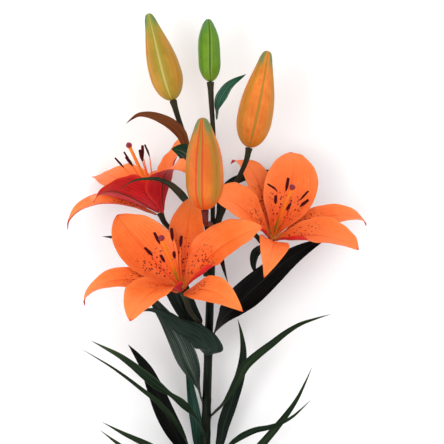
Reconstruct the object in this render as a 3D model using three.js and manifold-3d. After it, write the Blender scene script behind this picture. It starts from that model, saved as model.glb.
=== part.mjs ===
// A cut stem of orange lilies lying on a table: three open flowers, four buds and the leaves of the upper stem.
// Units are millimetres. In the plant's own frame +Y runs up the stem from the cut end, +X is to the stem's right
// and +Z is up off the table. The whole plant is then settled on the table, with the origin under the middle of
// its box. Each flower has its own frame: +Z along its axis, out of the throat, and the azimuth turns about it.
import * as THREE from 'three';
import { ConvexHull } from 'three/addons/math/ConvexHull.js';
import Module from 'manifold-3d';

// ---- Driving dimensions ----
const GAP = 0.3; // clearance between pieces that are grown together on the real plant

const STEM_LENGTH = 313; // from the cut end to the fork, where the last stalks leave
const STEM_RADIUS_CUT = 4.6;
const STEM_RADIUS_TOP = 3.3;
const STEM_RISE = 0.105; // lift off the table for each millimetre up the stem
const STEM_SWAY = [0, -1.5, 1.2, 5]; // sideways bends of the stem, at even steps up it

const STALK_RADIUS = 2.0; // flower and bud stalks, at the stem
const NECK_RADIUS = 2.8; // where a stalk widens under a flower or a bud
const NECK_LENGTH = 9;

const LEAF_THICKNESS = 0.9;
const LEAF_BASE_WIDTH = 5;
const LEAF_CUP = 0.4; // radians from the midrib to a margin
const BRACT_STAND = 1.3; // clearance under a bract that bends away along its stalk

const TEPAL_THICKNESS = 1.1;
const TEPAL_BASE_WIDTH = 3.2;

const RECEPTACLE_RADIUS = 2.8; // the rim of the cone that carries the stamens
const RECEPTACLE_HEIGHT = 4.6;
const RECEPTACLE_TAPER = 0.45; // the cone's foot as a share of its rim
const PETAL_TUCK = 0.95; // how far the petals' inner face starts inside that rim
const RING_CLEARANCE = 0.5; // between the petals and the sepals, at their claws

const STAMEN_SPREAD = 13; // degrees from the flower's axis
const FILAMENT_RADIUS = 0.75;
const FILAMENT_LENGTH = 47;
const FILAMENT_BOW = 1.5;
const ANTHER_LENGTH = 11;
const ANTHER_RADIUS = 1.4;

const STYLE_RADIUS = 1.1;
const STYLE_LENGTH = 62;
const STYLE_BOW = 1.2;
const OVARY_SHARE = 0.32; // of the pistil's length
const STIGMA_RADIUS = 2.8;

// ---- Sizes that follow ----
const INNER_RING_RADIUS = RECEPTACLE_RADIUS + TEPAL_THICKNESS / 2 - PETAL_TUCK; // the three petals
const OUTER_RING_RADIUS = INNER_RING_RADIUS + TEPAL_THICKNESS + RING_CLEARANCE; // the three sepals

// ---- Facets ----
const STEM_SIDES = 10;
const STALK_SIDES = 8;
const BUD_SIDES = 12;
const STEM_STEPS = 10;
const STALK_STEPS = 8;
const BLADE_STEPS = 10;
const TEPAL_SUBSTEPS = 6; // finer steps that follow a tepal's curve between its rings

const wasm = await Module();
wasm.setup();

const v3 = (x = 0, y = 0, z = 0) => new THREE.Vector3(x, y, z);
const UP = v3(0, 0, 1);
const mix = THREE.MathUtils.lerp;
const smooth = THREE.MathUtils.smoothstep;
const radians = THREE.MathUtils.degToRad;
const degrees = THREE.MathUtils.radToDeg;
const points3 = (rows) => rows.map(([x, y, z]) => v3(x, y, z));

const FINISHES = {
  stem: { color: 0x2c3a1c, roughness: 0.55 },
  stalk: { color: 0x4a4a28, roughness: 0.55 },
  leaf: { color: 0x15251b, roughness: 0.4 },
  tepal: { color: 0xf76b2b, roughness: 0.45 },
  bud: { color: 0xd98a2b, roughness: 0.5 },
  greenBud: { color: 0x6f9a1e, roughness: 0.5 },
  stamens: { color: 0x5a1712, roughness: 0.8 },
  pistil: { color: 0xe8691e, roughness: 0.45 },
};

function piece(name, geometry, finish) {
  const material = new THREE.MeshStandardMaterial({ ...FINISHES[finish], metalness: 0 });
  const mesh = new THREE.Mesh(geometry, material);
  mesh.name = name;
  return mesh;
}

// ---- Closed skins ----
// A closed skin over rings of equal count, each ring counter-clockwise about the way to the next one, shut by a
// point at each end. The squares of a ring's second half are split along the other diagonal, so that the two
// faces of a thin twisted blade run side by side and never cross.
function skin(start, rings, end) {
  const count = rings[0].length;
  const last = rings.length - 1;
  const points = [start, ...rings.flat(), end];
  const at = (ring, k) => 1 + ring * count + (k % count);
  const faces = [];
  for (let k = 0; k < count; k++) {
    faces.push(0, at(0, k + 1), at(0, k));
    for (let ring = 0; ring < last; ring++) {
      const [a, b, c, d] = [at(ring, k), at(ring, k + 1), at(ring + 1, k + 1), at(ring + 1, k)];
      if (k < count / 2) faces.push(a, b, c, a, c, d);
      else faces.push(a, b, d, b, c, d);
    }
    faces.push(at(last, k), at(last, k + 1), points.length - 1);
  }
  const geometry = new THREE.BufferGeometry().setFromPoints(points);
  geometry.setIndex(faces);
  return geometry;
}

const curveThrough = (points) => new THREE.CatmullRomCurve3(points, false, 'centripetal');
const evenShares = (steps) => Array.from({ length: steps + 1 }, (_, i) => i / steps);

// A round body along a curve, its radius a function of the share of the way along.
function tube(curve, radiusAt, sides, shares, endBulge = 0) {
  const { normals, binormals, tangents } = curve.computeFrenetFrames(shares.length - 1, false);
  const rings = shares.map((share, i) => Array.from({ length: sides }, (_, k) => {
    const angle = (2 * Math.PI * k) / sides;
    return curve.getPointAt(share)
      .addScaledVector(normals[i], radiusAt(share) * Math.cos(angle))
      .addScaledVector(binormals[i], radiusAt(share) * Math.sin(angle));
  }));
  const end = curve.getPointAt(1).addScaledVector(tangents.at(-1), endBulge);
  return skin(curve.getPointAt(0), rings, end);
}

// A leaf or a tepal. Each station has a centre, a side direction and an upper-face direction; the section is an
// arc whose margins lift towards the upper face by the cup angle, thickest at the midrib of the base.
const ACROSS = [1, 0.5, 0, -0.5, -1, -0.5, 0, 0.5]; // upper face from margin to margin, then back along the lower
const FACE = [0, 1, 1, 1, 0, -1, -1, -1];
const HALFWAY_THINNING = 0.45; // how much thinner a blade would be at its margin than at its midrib
const TIP_THICKNESS = 0.5; // share of the thickness that is left at the tip
const FLATTEST_CUP = 1e-3; // keeps the arc's radius finite

function blade(stations, tip, widthAt, cupAt, thickness) {
  const rings = stations.map(({ centre, side, up, share }) => {
    const half = widthAt(share) / 2;
    const cup = cupAt(share) || FLATTEST_CUP;
    return ACROSS.map((v, k) => {
      const lateral = (half * Math.sin(cup * v)) / cup;
      const lift = (half * (1 - Math.cos(cup * v))) / cup;
      const thinned = thickness * (1 - HALFWAY_THINNING * Math.abs(v)) * mix(1, TIP_THICKNESS, share);
      return centre.clone().addScaledVector(side, lateral).addScaledVector(up, lift + (FACE[k] * thinned) / 2);
    });
  });
  return skin(stations[0].centre, rings, tip);
}

// ---- Stem ----
const STEM_LINE = new THREE.CatmullRomCurve3(
  STEM_SWAY.map((sway, i) => v3(sway, (STEM_LENGTH * i) / (STEM_SWAY.length - 1), 0)),
);
const stemRadius = (height) => mix(STEM_RADIUS_CUT, STEM_RADIUS_TOP, height / STEM_LENGTH);

// The point on the stem's centre line at a height up the stem.
function stemAt(height) {
  const point = STEM_LINE.getPointAt(THREE.MathUtils.clamp(height / STEM_LENGTH, 0, 1));
  point.z = STEM_RADIUS_CUT + STEM_RISE * point.y;
  return point;
}

const FORK = stemAt(STEM_LENGTH);

function makeStem() {
  const line = curveThrough(evenShares(STEM_STEPS).map((share) => stemAt(share * STEM_LENGTH)));
  const radiusAt = (share) => stemRadius(share * STEM_LENGTH);
  return piece('stem', tube(line, radiusAt, STEM_SIDES, evenShares(STEM_STEPS)), 'stem');
}

// ---- Stalks ----
const STALK_SINK = 0.8; // of its radius, from the stem's side to the middle of a stalk's foot
const STALK_SWELL = 1.05; // widening of a stalk up to its neck
const NECK_FROM = 0.8; // share of the stalk where the neck starts
const CROWN_GAP = 3 * GAP; // between the stem's top and the stalk that goes straight on from it
const stalks = {};

// A stalk leaves the stem's side at a distance below the fork, facing the next point of its path, and widens into
// a neck under its flower or bud. The path's points and the end are offsets from the fork.
function makeStalk(name, { below, path, at }, direction) {
  const height = STEM_LENGTH - below;
  const axis = stemAt(height).sub(FORK);
  const along = stemAt(height + 1).sub(stemAt(height - 1)).normalize();
  const toward = path[0].clone().sub(axis);
  const outward = toward.clone().addScaledVector(along, -toward.dot(along)).normalize();
  const start = below > 0
    ? axis.clone().addScaledVector(outward, stemRadius(height) + GAP + STALK_SINK * STALK_RADIUS)
    : axis.clone().addScaledVector(along, CROWN_GAP);
  const end = at.clone().addScaledVector(direction, -GAP);
  const neck = end.clone().addScaledVector(direction, -NECK_LENGTH);
  const line = curveThrough([start, ...path, neck, end].map((point) => point.clone().sub(start)));
  const radiusAt = (t) => STALK_RADIUS * mix(1, STALK_SWELL, t)
    + (NECK_RADIUS - STALK_RADIUS) * smooth(t, NECK_FROM, 1);
  stalks[name] = { start, line, radiusAt };
  const mesh = piece(name, tube(line, radiusAt, STALK_SIDES, evenShares(STALK_STEPS)), 'stalk');
  mesh.position.copy(start);
  return mesh;
}

// ---- Buds ----
const BUD_SHARES = [0.02, 0.07, 0.16, 0.28, 0.42, 0.56, 0.7, 0.82, 0.92, 0.985];
const BUD_SHOULDER = 0.3; // share of the bud where it is widest
const BUD_TIP_RADIUS = 0.26; // of the widest radius
const BUD_TIP_FROM = 0.9; // share where the blunt tip starts to round off
const BUD_TIP_ROUNDING = 0.6;

// The radius of a closed bud along it: round at the base, widest at the shoulder and drawn out to a blunt tip,
// later the higher its fullness.
function budProfile(t, fullness) {
  const dome = Math.sqrt(1 - (1 - Math.min(t / BUD_SHOULDER, 1)) ** 2);
  const taper = mix(1, BUD_TIP_RADIUS, smooth(t, BUD_SHOULDER - 0.02, 1.08) ** fullness);
  const tip = Math.max(0, (t - BUD_TIP_FROM) / (1 - BUD_TIP_FROM));
  return dome * taper * Math.sqrt(1 - BUD_TIP_ROUNDING * tip ** 2);
}

function makeBud({ name, at, direction, length, width, fullness, finish = 'bud' }) {
  const side = BUD_SHARES.map((t) => new THREE.Vector2((width / 2) * budProfile(t, fullness), t * length));
  const profile = [new THREE.Vector2(0, 0), ...side, new THREE.Vector2(0, length)];
  const mesh = piece(name, new THREE.LatheGeometry(profile, BUD_SIDES), finish);
  mesh.position.copy(at);
  mesh.quaternion.setFromUnitVectors(v3(0, 1, 0), direction);
  return mesh;
}

// ---- Tepals ----
const RINGS = {
  petal: { radius: INNER_RING_RADIUS, height: 1.6, cup: [0.9, 0.35], blunt: 0.75 },
  sepal: { radius: OUTER_RING_RADIUS, height: 0, cup: [0.35, 0.5], blunt: 0.95 },
};

// A tepal's midrib, with its base at the origin, the flower's axis along +Z and the way out along +X. It starts at
// the lean angle from the axis and curves over to the reflex angle, which it nears later the higher its onset is;
// a sideways sweep and a twist both grow towards the tip.
function tepalStations({ length, lean, reflex, onset = 1.5, sweep = 0, twist = 0 }) {
  const steps = BLADE_STEPS * TEPAL_SUBSTEPS;
  const centre = v3();
  const stations = [];
  for (let i = 0; i <= steps; i++) {
    const share = i / steps;
    const open = radians(mix(lean, reflex, share ** onset));
    const swerve = radians(sweep) * share ** 2;
    const along = v3(Math.sin(open) * Math.cos(swerve), Math.sin(swerve), Math.cos(open) * Math.cos(swerve));
    const level = v3(-Math.cos(open), 0, Math.sin(open));
    const side = level.applyAxisAngle(along, radians(twist) * share ** 1.5).cross(along).normalize();
    const up = along.clone().cross(side);
    if (i % TEPAL_SUBSTEPS === 0) stations.push({ centre: centre.clone(), side, up, share });
    centre.addScaledVector(along, length / steps);
  }
  return stations;
}

// The width of a tepal along it: a narrow claw, widest past the middle; a lower bluntness gives a rounder tip.
const tepalWidth = (width, blunt) => (t) => TEPAL_BASE_WIDTH * (1 - t)
  + (width - TEPAL_BASE_WIDTH / 2) * Math.sin(Math.PI * t ** 1.05) ** blunt * mix(0.55, 1, smooth(t, 0, 0.35));

function makeTepal(name, spec) {
  const ring = RINGS[spec.ring];
  const stations = tepalStations(spec);
  const tip = stations.pop().centre;
  const cupAt = (t) => mix(ring.cup[0], ring.cup[1], t);
  const widthAt = tepalWidth(spec.width, ring.blunt);
  const mesh = piece(name, blade(stations, tip, widthAt, cupAt, TEPAL_THICKNESS), 'tepal');
  const azimuth = radians(spec.azimuth);
  mesh.position.set(ring.radius * Math.cos(azimuth), ring.radius * Math.sin(azimuth), ring.height);
  mesh.rotation.z = azimuth;
  return mesh;
}

// ---- Stamens and pistil, in the flower's own frame ----
const toManifold = (geometry) => new wasm.Manifold(new wasm.Mesh({
  numProp: 3,
  vertProperties: new Float32Array(geometry.attributes.position.array),
  triVerts: new Uint32Array(geometry.index.array),
}));

function fromManifold(solid) {
  const mesh = solid.getMesh();
  const geometry = new THREE.BufferGeometry();
  geometry.setAttribute('position', new THREE.BufferAttribute(mesh.vertProperties, 3));
  geometry.setIndex(new THREE.BufferAttribute(mesh.triVerts, 1));
  return geometry;
}

// The way out at an azimuth around the flower's axis and a spread away from it, both in degrees.
function wayOut(azimuth, spread) {
  return v3(Math.sin(radians(spread)), 0, Math.cos(radians(spread))).applyAxisAngle(UP, radians(azimuth));
}

const FILAMENT_SEAT = 0.72; // of the receptacle's radius, out to the foot of a filament
const FILAMENT_ROOT = 1; // how far a filament's foot is sunk in the receptacle
const ANTHER_FROM = FILAMENT_LENGTH / (FILAMENT_LENGTH + ANTHER_LENGTH);
const STAMEN_SHARES = [0, 0.25, 0.5, ANTHER_FROM - 0.02, ANTHER_FROM + 0.02, ANTHER_FROM + 0.07, 0.96, 1];

function stamenRadius(t) {
  if (t < ANTHER_FROM) return FILAMENT_RADIUS;
  const plump = Math.sin(Math.PI * Math.min(1, (t - ANTHER_FROM) / (1 - ANTHER_FROM))) ** 0.5;
  return mix(FILAMENT_RADIUS, ANTHER_RADIUS, plump);
}

// The six stamens on the cone at the flower's heart: each filament rises to an anther that nods away from the axis.
function makeStamens(name, stamens) {
  const coneTop = v3(0, 0, RECEPTACLE_HEIGHT);
  const coneRadius = (t) => mix(RECEPTACLE_TAPER, 1, t) * RECEPTACLE_RADIUS;
  const cone = tube(new THREE.LineCurve3(v3(0, 0, GAP), coneTop), coneRadius, BUD_SIDES, evenShares(2));
  const solids = stamens.map(([azimuth, nod]) => {
    const way = wayOut(azimuth, STAMEN_SPREAD);
    const outward = wayOut(azimuth, 90);
    const foot = coneTop.clone().setZ(coneTop.z - FILAMENT_ROOT)
      .addScaledVector(outward, FILAMENT_SEAT * RECEPTACLE_RADIUS);
    const middle = foot.clone().addScaledVector(way, 0.5 * FILAMENT_LENGTH).addScaledVector(outward, -FILAMENT_BOW);
    const hinge = foot.clone().addScaledVector(way, FILAMENT_LENGTH);
    const end = hinge.clone().addScaledVector(wayOut(azimuth, STAMEN_SPREAD + nod), ANTHER_LENGTH);
    return tube(curveThrough([foot, middle, hinge, end]), stamenRadius, STALK_SIDES, STAMEN_SHARES);
  });
  return piece(name, fromManifold(wasm.Manifold.union([cone, ...solids].map(toManifold))), 'stamens');
}

const PISTIL_SHARES = [0, 0.06, 0.14, 0.24, 0.32, 0.5, 0.75, 0.93, 0.97, 1];
const OVARY_SWELL = 0.55; // of the style's radius
const STIGMA_BULGE = 1;

// The pistil: a plump ovary, a long style and a three-lobed stigma.
function makePistil(name) {
  const line = curveThrough([v3(), v3(0, STYLE_BOW, STYLE_LENGTH / 2), v3(0, 0, STYLE_LENGTH)]);
  const radiusAt = (t) => STYLE_RADIUS * (1 + OVARY_SWELL * Math.sin(Math.PI * Math.min(1, t / OVARY_SHARE)) ** 2)
    + (STIGMA_RADIUS - STYLE_RADIUS) * smooth(t, 0.92, 0.98);
  const mesh = piece(name, tube(line, radiusAt, STALK_SIDES, PISTIL_SHARES, STIGMA_BULGE), 'pistil');
  mesh.position.z = RECEPTACLE_HEIGHT + GAP;
  return mesh;
}

// ---- Flowers ----
function makeFlower({ name, at, axis, tepals, stamens }) {
  const flower = new THREE.Group();
  const right = v3(1, 0, 0).addScaledVector(axis, -axis.x).normalize();
  flower.quaternion.setFromRotationMatrix(new THREE.Matrix4().makeBasis(right, axis.clone().cross(right), axis));
  flower.position.copy(at);
  const count = { petal: 0, sepal: 0 };
  for (const spec of tepals) {
    count[spec.ring] += 1;
    flower.add(makeTepal(`${name}_${spec.ring}_${count[spec.ring]}`, spec));
  }
  flower.add(makeStamens(`${name}_stamens`, stamens), makePistil(`${name}_pistil`));
  return flower;
}

const petal = (azimuth, length, width, lean, reflex, more = {}) =>
  ({ ring: 'petal', azimuth, length, width, lean, reflex, ...more });
const sepal = (azimuth, length, width, lean, reflex, more = {}) =>
  ({ ring: 'sepal', azimuth, length, width, lean, reflex, ...more });

// Places and stalk paths are offsets from the fork; each stamen has its azimuth and the nod of its anther.
const FLOWERS = [
  {
    name: 'front_flower', at: v3(-26, -55, 52.5), axis: v3(-0.25, 0.7, 0.67).normalize(), below: 98,
    path: points3([[-10, -88, 9.5], [-20, -73, 29.5]]),
    tepals: [
      petal(133, 87, 51, 49, 75, { onset: 1.8, sweep: -13, twist: -6 }),
      petal(17, 91, 49, 45, 94, { onset: 1.2, sweep: -4, twist: -3 }),
      petal(248, 92, 44, 31, 99, { onset: 1.4, sweep: -3, twist: -2 }),
      sepal(75, 93, 33, 52, 109, { onset: 1.7, sweep: 14, twist: 9 }),
      sepal(184, 98, 27, 45, 162, { onset: 2.1, sweep: 8, twist: 12 }),
      sepal(312, 94, 31, 48, 116, { onset: 1.8, sweep: 4, twist: 2 }),
    ],
    stamens: [[12, 6], [66, 10], [120, 5], [189, 4], [264, 0], [306, 8]],
  },
  {
    name: 'right_flower', at: v3(52, -12, 10.5), axis: v3(0.25, 0.7, 0.67).normalize(), below: 28,
    path: points3([[17, -8, 3.5], [36, -7, -0.5], [45, -16, 0.5]]),
    tepals: [
      petal(73, 88, 50, 40, 99, { onset: 1.6, sweep: 29, twist: -2 }),
      petal(191, 86, 46, 40, 75, { onset: 1.7, twist: -21 }),
      petal(330, 87, 46, 43, 90, { onset: 1.8, sweep: -4, twist: -9 }),
      sepal(114, 97, 28, 48, 152, { onset: 2, sweep: 11, twist: 8 }),
      sepal(258, 94, 28, 41, 121, { onset: 1.9, twist: -1 }),
      sepal(17, 96, 27, 48, 142, { onset: 2, sweep: -5, twist: -11 }),
    ],
    stamens: [[18, 10], [93, 20], [135, 80], [213, 5], [267, 5], [339, 10]],
  },
  {
    name: 'back_flower', at: v3(-46, 12, 22.5), axis: v3(-0.4, 0.88, 0.18).normalize(), below: 43,
    path: points3([[-17, -21, 11.5], [-35, -4, 16.5]]),
    tepals: [
      petal(236, 84, 47, 42, 118, { onset: 3, sweep: -5, twist: 18 }),
      petal(127, 90, 45, 43, 98, { onset: 2, sweep: -4, twist: 6 }),
      petal(38, 72, 30, 40, 56, { onset: 1.4, sweep: -10, twist: -8 }),
      sepal(174, 93, 32, 44, 143, { onset: 1.9, twist: -15 }),
      sepal(309, 82, 36, 31, 140, { onset: 2, sweep: 0, twist: 0 }),
      sepal(78, 66, 28, 44, 100, { onset: 1.5 }),
    ],
    stamens: [[63, 25], [120, 5], [174, 5], [255, 15], [300, 10], [351, -10]],
  },
];

// A bud's stalk goes straight on from the fork where nothing is below it.
const BUDS = [
  {
    name: 'bud_left', at: v3(-35, 111, 12.5), direction: v3(-22, 77, -6).normalize(), length: 80.3, width: 28,
    fullness: 1.3, below: 10, path: points3([[-11, 32, 18.5], [-20, 65, 17.5]]),
  },
  {
    name: 'bud_green', at: v3(-2, 127, 16.5), direction: v3(-2, 55, 0).normalize(), length: 55, width: 19,
    fullness: 3.5, below: 0, path: points3([[0, 32, 15.5], [1, 67, 16.5]]), finish: 'greenBud',
  },
  {
    name: 'bud_right', at: v3(32, 69, 20.5), direction: v3(16, 84, 6).normalize(), length: 85.7, width: 30.5,
    fullness: 1.4, below: 7, path: points3([[8, 11, 14.5], [18, 32, 16.5]]),
  },
  {
    name: 'bud_front', at: v3(-6, 14, 86.5), direction: v3(-2, 76, 16).normalize(), length: 77.7, width: 31,
    fullness: 2.1, below: 18, path: points3([[0, -10, 20.5], [-1, 1, 42.5]]),
  },
];

// ---- Leaves ----
const PINCH_DEPTH = 0.7; // how much of a leaf's width is lost where it twists over
const PINCH_SPAN = 0.08; // share of the leaf

// The width of a leaf along it: widest at the peak share, with an optional pinch where it twists over.
function leafWidth(width, peak, pinch) {
  const skew = Math.log(0.5) / Math.log(peak);
  const narrowed = (t) => 1 - PINCH_DEPTH * Math.exp(-(((t - pinch) / PINCH_SPAN) ** 2));
  return (t) => LEAF_BASE_WIDTH * (1 - t) ** 2
    + (width - LEAF_BASE_WIDTH / 3) * Math.sin(Math.PI * t ** skew) ** 0.9 * (pinch ? narrowed(t) : 1);
}

// Where a leaf is joined on, as an offset from the fork, and the way out from there: on the stem, at a distance
// below the fork and an angle around it, or on a stalk, at a share of its length and a side of it.
function leafFoot({ below, around, stalk, share, side }) {
  if (stalk) {
    const { start, line, radiusAt } = stalks[stalk];
    const along = line.getTangentAt(share);
    const radial = side.clone().addScaledVector(along, -side.dot(along)).normalize();
    const middle = line.getPointAt(share).add(start);
    return { base: middle.addScaledVector(radial, radiusAt(share) + BRACT_STAND + LEAF_THICKNESS / 2), radial };
  }
  const radial = v3(Math.cos(radians(around)), 0, Math.sin(radians(around)));
  const height = STEM_LENGTH - below;
  const stand = stemRadius(height) + GAP + LEAF_THICKNESS / 2;
  return { base: stemAt(height).sub(FORK).addScaledVector(radial, stand), radial };
}

// A leaf follows a smooth curve, whose points are offsets from its foot. Its upper face looks at the stem there and
// then turns, over a span of the leaf, to look up off the table, or is rolled from that about the midrib.
function makeLeaf(leaf) {
  const { name, points, width, roll = 0, turn = [0, 0.5], peak = 0.42, pinch } = leaf;
  const { base, radial } = leafFoot(leaf);
  const curve = curveThrough([v3(), ...points]);
  const level = (along) => UP.clone().addScaledVector(along, -along.z).normalize();
  const first = curve.getTangentAt(0);
  const facing = radial.clone().negate();
  const facingRoll = degrees(Math.atan2(level(first).clone().cross(facing).dot(first), level(first).dot(facing)));
  const baseRoll = facingRoll + 360 * Math.round((roll - facingRoll) / 360);
  const stations = evenShares(BLADE_STEPS).slice(0, -1).map((share) => {
    const along = curve.getTangentAt(share);
    const angle = radians(mix(baseRoll, roll, smooth(share, turn[0], turn[1])));
    const up = level(along).applyAxisAngle(along, angle);
    return { centre: curve.getPointAt(share), side: up.clone().cross(along), up, share };
  });
  const widthAt = leafWidth(width, peak, pinch);
  const mesh = piece(name, blade(stations, curve.getPointAt(1), widthAt, () => LEAF_CUP, LEAF_THICKNESS), 'leaf');
  mesh.position.copy(base);
  return mesh;
}

const LEAVES = [
  {
    name: 'leaf_left_striped', below: 156, around: 165, width: 20,
    points: points3([[-4, 15, 10], [-12, 36, 16], [-19, 53, 21], [-29, 72, 26], [-41, 89, 30], [-51, 103, 32]]),
  },
  {
    name: 'leaf_left_folded', below: 115, around: 90, width: 22, peak: 0.2, roll: 150, turn: [0.4, 1],
    points: points3([[0, 10, 21], [-10, 21, 29], [-26, 29, 34], [-38, 38, 34], [-49, 42, 31], [-61, 40, 27]]),
  },
  {
    name: 'leaf_left_dark', below: 101, around: 160, width: 12,
    points: points3([[-6, 14, 13], [-11, 29, 19], [-15, 45, 22], [-18, 61, 22]]),
  },
  {
    name: 'leaf_far_left', below: 107, around: 190, width: 16,
    points: points3([[-11, 20, 17], [-20, 38, 21], [-30, 58, 25], [-48, 79, 29], [-69, 95, 29], [-89, 98, 25]]),
  },
  {
    name: 'leaf_right_broad', below: 98, around: 30, width: 26,
    points: points3([[8, 16, 21], [27, 35, 24], [49, 55, 23], [69, 71, 21], [86, 81, 18], [102, 88, 13]]),
  },
  {
    name: 'leaf_right_upright', below: 218, around: 340, width: 12,
    points: points3([
      [8, 20, 4], [12, 40, 7], [19, 62, 9], [27, 88, 13], [29, 108, 17], [27, 124, 20], [24, 136, 22],
    ]),
  },
  {
    name: 'leaf_right_arching', below: 170, around: 20, width: 8,
    points: points3([[12, 13, 11], [23, 32, 16], [32, 48, 19], [51, 64, 21], [76, 82, 19], [107, 92, 13]]),
  },
  {
    name: 'leaf_left_twisted', below: 187, around: 130, width: 10, pinch: 0.4,
    points: points3([
      [-2, 10, 14], [-9, 21, 18], [-22, 34, 24], [-35, 44, 28], [-50, 56, 30], [-71, 72, 28], [-99, 86, 20],
    ]),
  },
  {
    name: 'leaf_left_black', below: 225, around: 180, width: 18, peak: 0.5,
    points: points3([[-11, 19, 4], [-22, 39, 10], [-33, 63, 16], [-40, 81, 20], [-49, 101, 22], [-64, 120, 20]]),
  },
  {
    name: 'leaf_left_thread', below: 223, around: 120, width: 5,
    points: points3([[-8, 18, 8], [-20, 41, 16], [-35, 63, 24], [-55, 80, 26], [-80, 98, 22], [-109, 114, 12]]),
  },
  {
    name: 'leaf_low_left_upper', below: 241, around: 150, width: 8,
    points: points3([[-10, 14, 5], [-26, 31, 9], [-48, 46, 13], [-69, 56, 13], [-89, 66, 9]]),
  },
  {
    name: 'leaf_low_left_lower', below: 258, around: 170, width: 8,
    points: points3([[-11, 13, 3], [-32, 32, 7], [-54, 49, 9], [-74, 63, 9], [-91, 75, 5]]),
  },
  {
    name: 'leaf_low_right_long', below: 251, around: 10, width: 8,
    points: points3([[15, 17, 6], [32, 40, 14], [50, 63, 20], [64, 80, 22], [77, 99, 22], [90, 126, 18]]),
  },
  {
    name: 'leaf_low_right_thin', below: 210, around: 55, width: 6,
    points: points3([[12, 9, 11], [23, 19, 17], [39, 29, 23], [55, 33, 25], [72, 40, 23], [91, 56, 17]]),
  },
  {
    name: 'leaf_beside_stem', below: 215, around: 200, width: 11,
    points: points3([[-3, 16, -1], [-4, 38, 2], [-7, 58, 6], [-10, 78, 11], [-14, 101, 15]]),
  },
  {
    name: 'bract_small', below: 13, around: 60, width: 6,
    points: points3([[3, -2, 17], [6, -15, 20], [9, -27, 20], [12, -37, 18]]),
  },
  {
    name: 'bract_far_right', below: 5, around: 330, width: 8,
    points: points3([[6, 33, 5], [14, 44, -10], [30, 51, -24], [50, 54, -31], [72, 54, -33], [88, 56, -33]]),
  },
  {
    name: 'bract_back_flower', below: 31, around: 125, width: 7,
    points: points3([
      [-7, 30, 8], [-14, 44, 7], [-21, 54.5, 14], [-29, 64, 47], [-37, 69, 77], [-46, 71, 93], [-57, 70, 99],
      [-68, 67, 96], [-74, 62, 90],
    ]),
  },
  {
    name: 'bract_right_flower', stalk: 'right_flower_stalk', share: 0.94, side: v3(-7, 2, 2), width: 8,
    points: points3([[-9, -8, 6], [-11, -18, 8], [-8, -29, 7]]),
  },
  {
    name: 'bract_back', stalk: 'bud_left_stalk', share: 0.365, side: v3(-2, -1, 4), width: 20, peak: 0.6,
    points: points3([[-1, 14, 5], [-6, 25, 14], [-13, 32, 27], [-22, 34, 38]]),
  },
  {
    name: 'bract_left_bud', stalk: 'bud_left_stalk', share: 0.65, side: v3(-2, -1, 3), width: 10, roll: 180,
    peak: 0.3, points: points3([[-5, 13, 6], [-14, 22, 9], [-30, 29, 8], [-42, 29.5, 3], [-53, 22, -3]]),
  },
  {
    name: 'bract_green_bud', stalk: 'bud_green_stalk', share: 0.75, side: v3(1, 0, 0), width: 10,
    points: points3([[2, 13, 1], [10, 28, 3], [26, 39, 1]]),
  },
];

// ---- Settling on the table ----
// Six times the volume of a closed mesh, and that times the sum of each corner-tetrahedron's centre.
function moments(geometry) {
  const { position } = geometry.attributes;
  const corners = [v3(), v3(), v3()];
  const moment = v3();
  let volume = 0;
  for (let i = 0; i < geometry.index.count; i += 3) {
    corners.forEach((corner, k) => corner.fromBufferAttribute(position, geometry.index.getX(i + k)));
    const share = corners[0].dot(corners[1].clone().cross(corners[2]));
    volume += share;
    for (const corner of corners) moment.addScaledVector(corner, share / 4);
  }
  return { volume, moment };
}

// The plant lies on the face of its convex hull that its centre of mass stands over: the group is turned until that
// face is level, and moved until the origin is under the middle of its box.
function settle(group) {
  const points = [];
  const centre = v3();
  let total = 0;
  group.updateMatrixWorld(true);
  group.traverse((mesh) => {
    if (!mesh.isMesh) return;
    const geometry = mesh.geometry.clone().applyMatrix4(mesh.matrixWorld);
    const { volume, moment } = moments(geometry);
    total += volume;
    centre.add(moment);
    const { position } = geometry.attributes;
    for (let i = 0; i < position.count; i++) points.push(v3().fromBufferAttribute(position, i));
  });
  centre.divideScalar(total);
  const down = new THREE.Ray(centre, UP.clone().negate());
  const hit = v3();
  const under = new ConvexHull().setFromPoints(points).faces.find(({ edge }) => {
    const [a, b, c] = [edge.head(), edge.next.head(), edge.next.next.head()].map(({ point }) => point);
    return down.intersectTriangle(a, b, c, false, hit) !== null;
  });
  group.quaternion.setFromUnitVectors(under.normal, UP.clone().negate());
  const box = new THREE.Box3().setFromObject(group, true);
  group.position.set(-(box.min.x + box.max.x) / 2, -(box.min.y + box.max.y) / 2, -box.min.z);
}

// ---- The plant ----
const crown = new THREE.Group(); // everything that is placed from the fork
crown.position.copy(FORK);
for (const flower of FLOWERS) crown.add(makeFlower(flower), makeStalk(`${flower.name}_stalk`, flower, flower.axis));
for (const bud of BUDS) crown.add(makeBud(bud), makeStalk(`${bud.name}_stalk`, bud, bud.direction));
for (const leaf of LEAVES) crown.add(makeLeaf(leaf));

const plant = new THREE.Group();
plant.add(makeStem(), crown);
settle(plant);

const lily = new THREE.Group();
lily.add(plant);

export default lily;
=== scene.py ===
"""The looks of a cut stem of orange lilies that lies on a table.

Every piece is grown on the solid that stands for it in the packed part: its rings of corners are read back, its
midline and widths are carried on smoothly between them, and the fine shape is laid over that.
"""
import math

import bpy
import numpy as np
from bpy.props import FloatProperty, FloatVectorProperty, PointerProperty
from mathutils import Matrix, Vector


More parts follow.
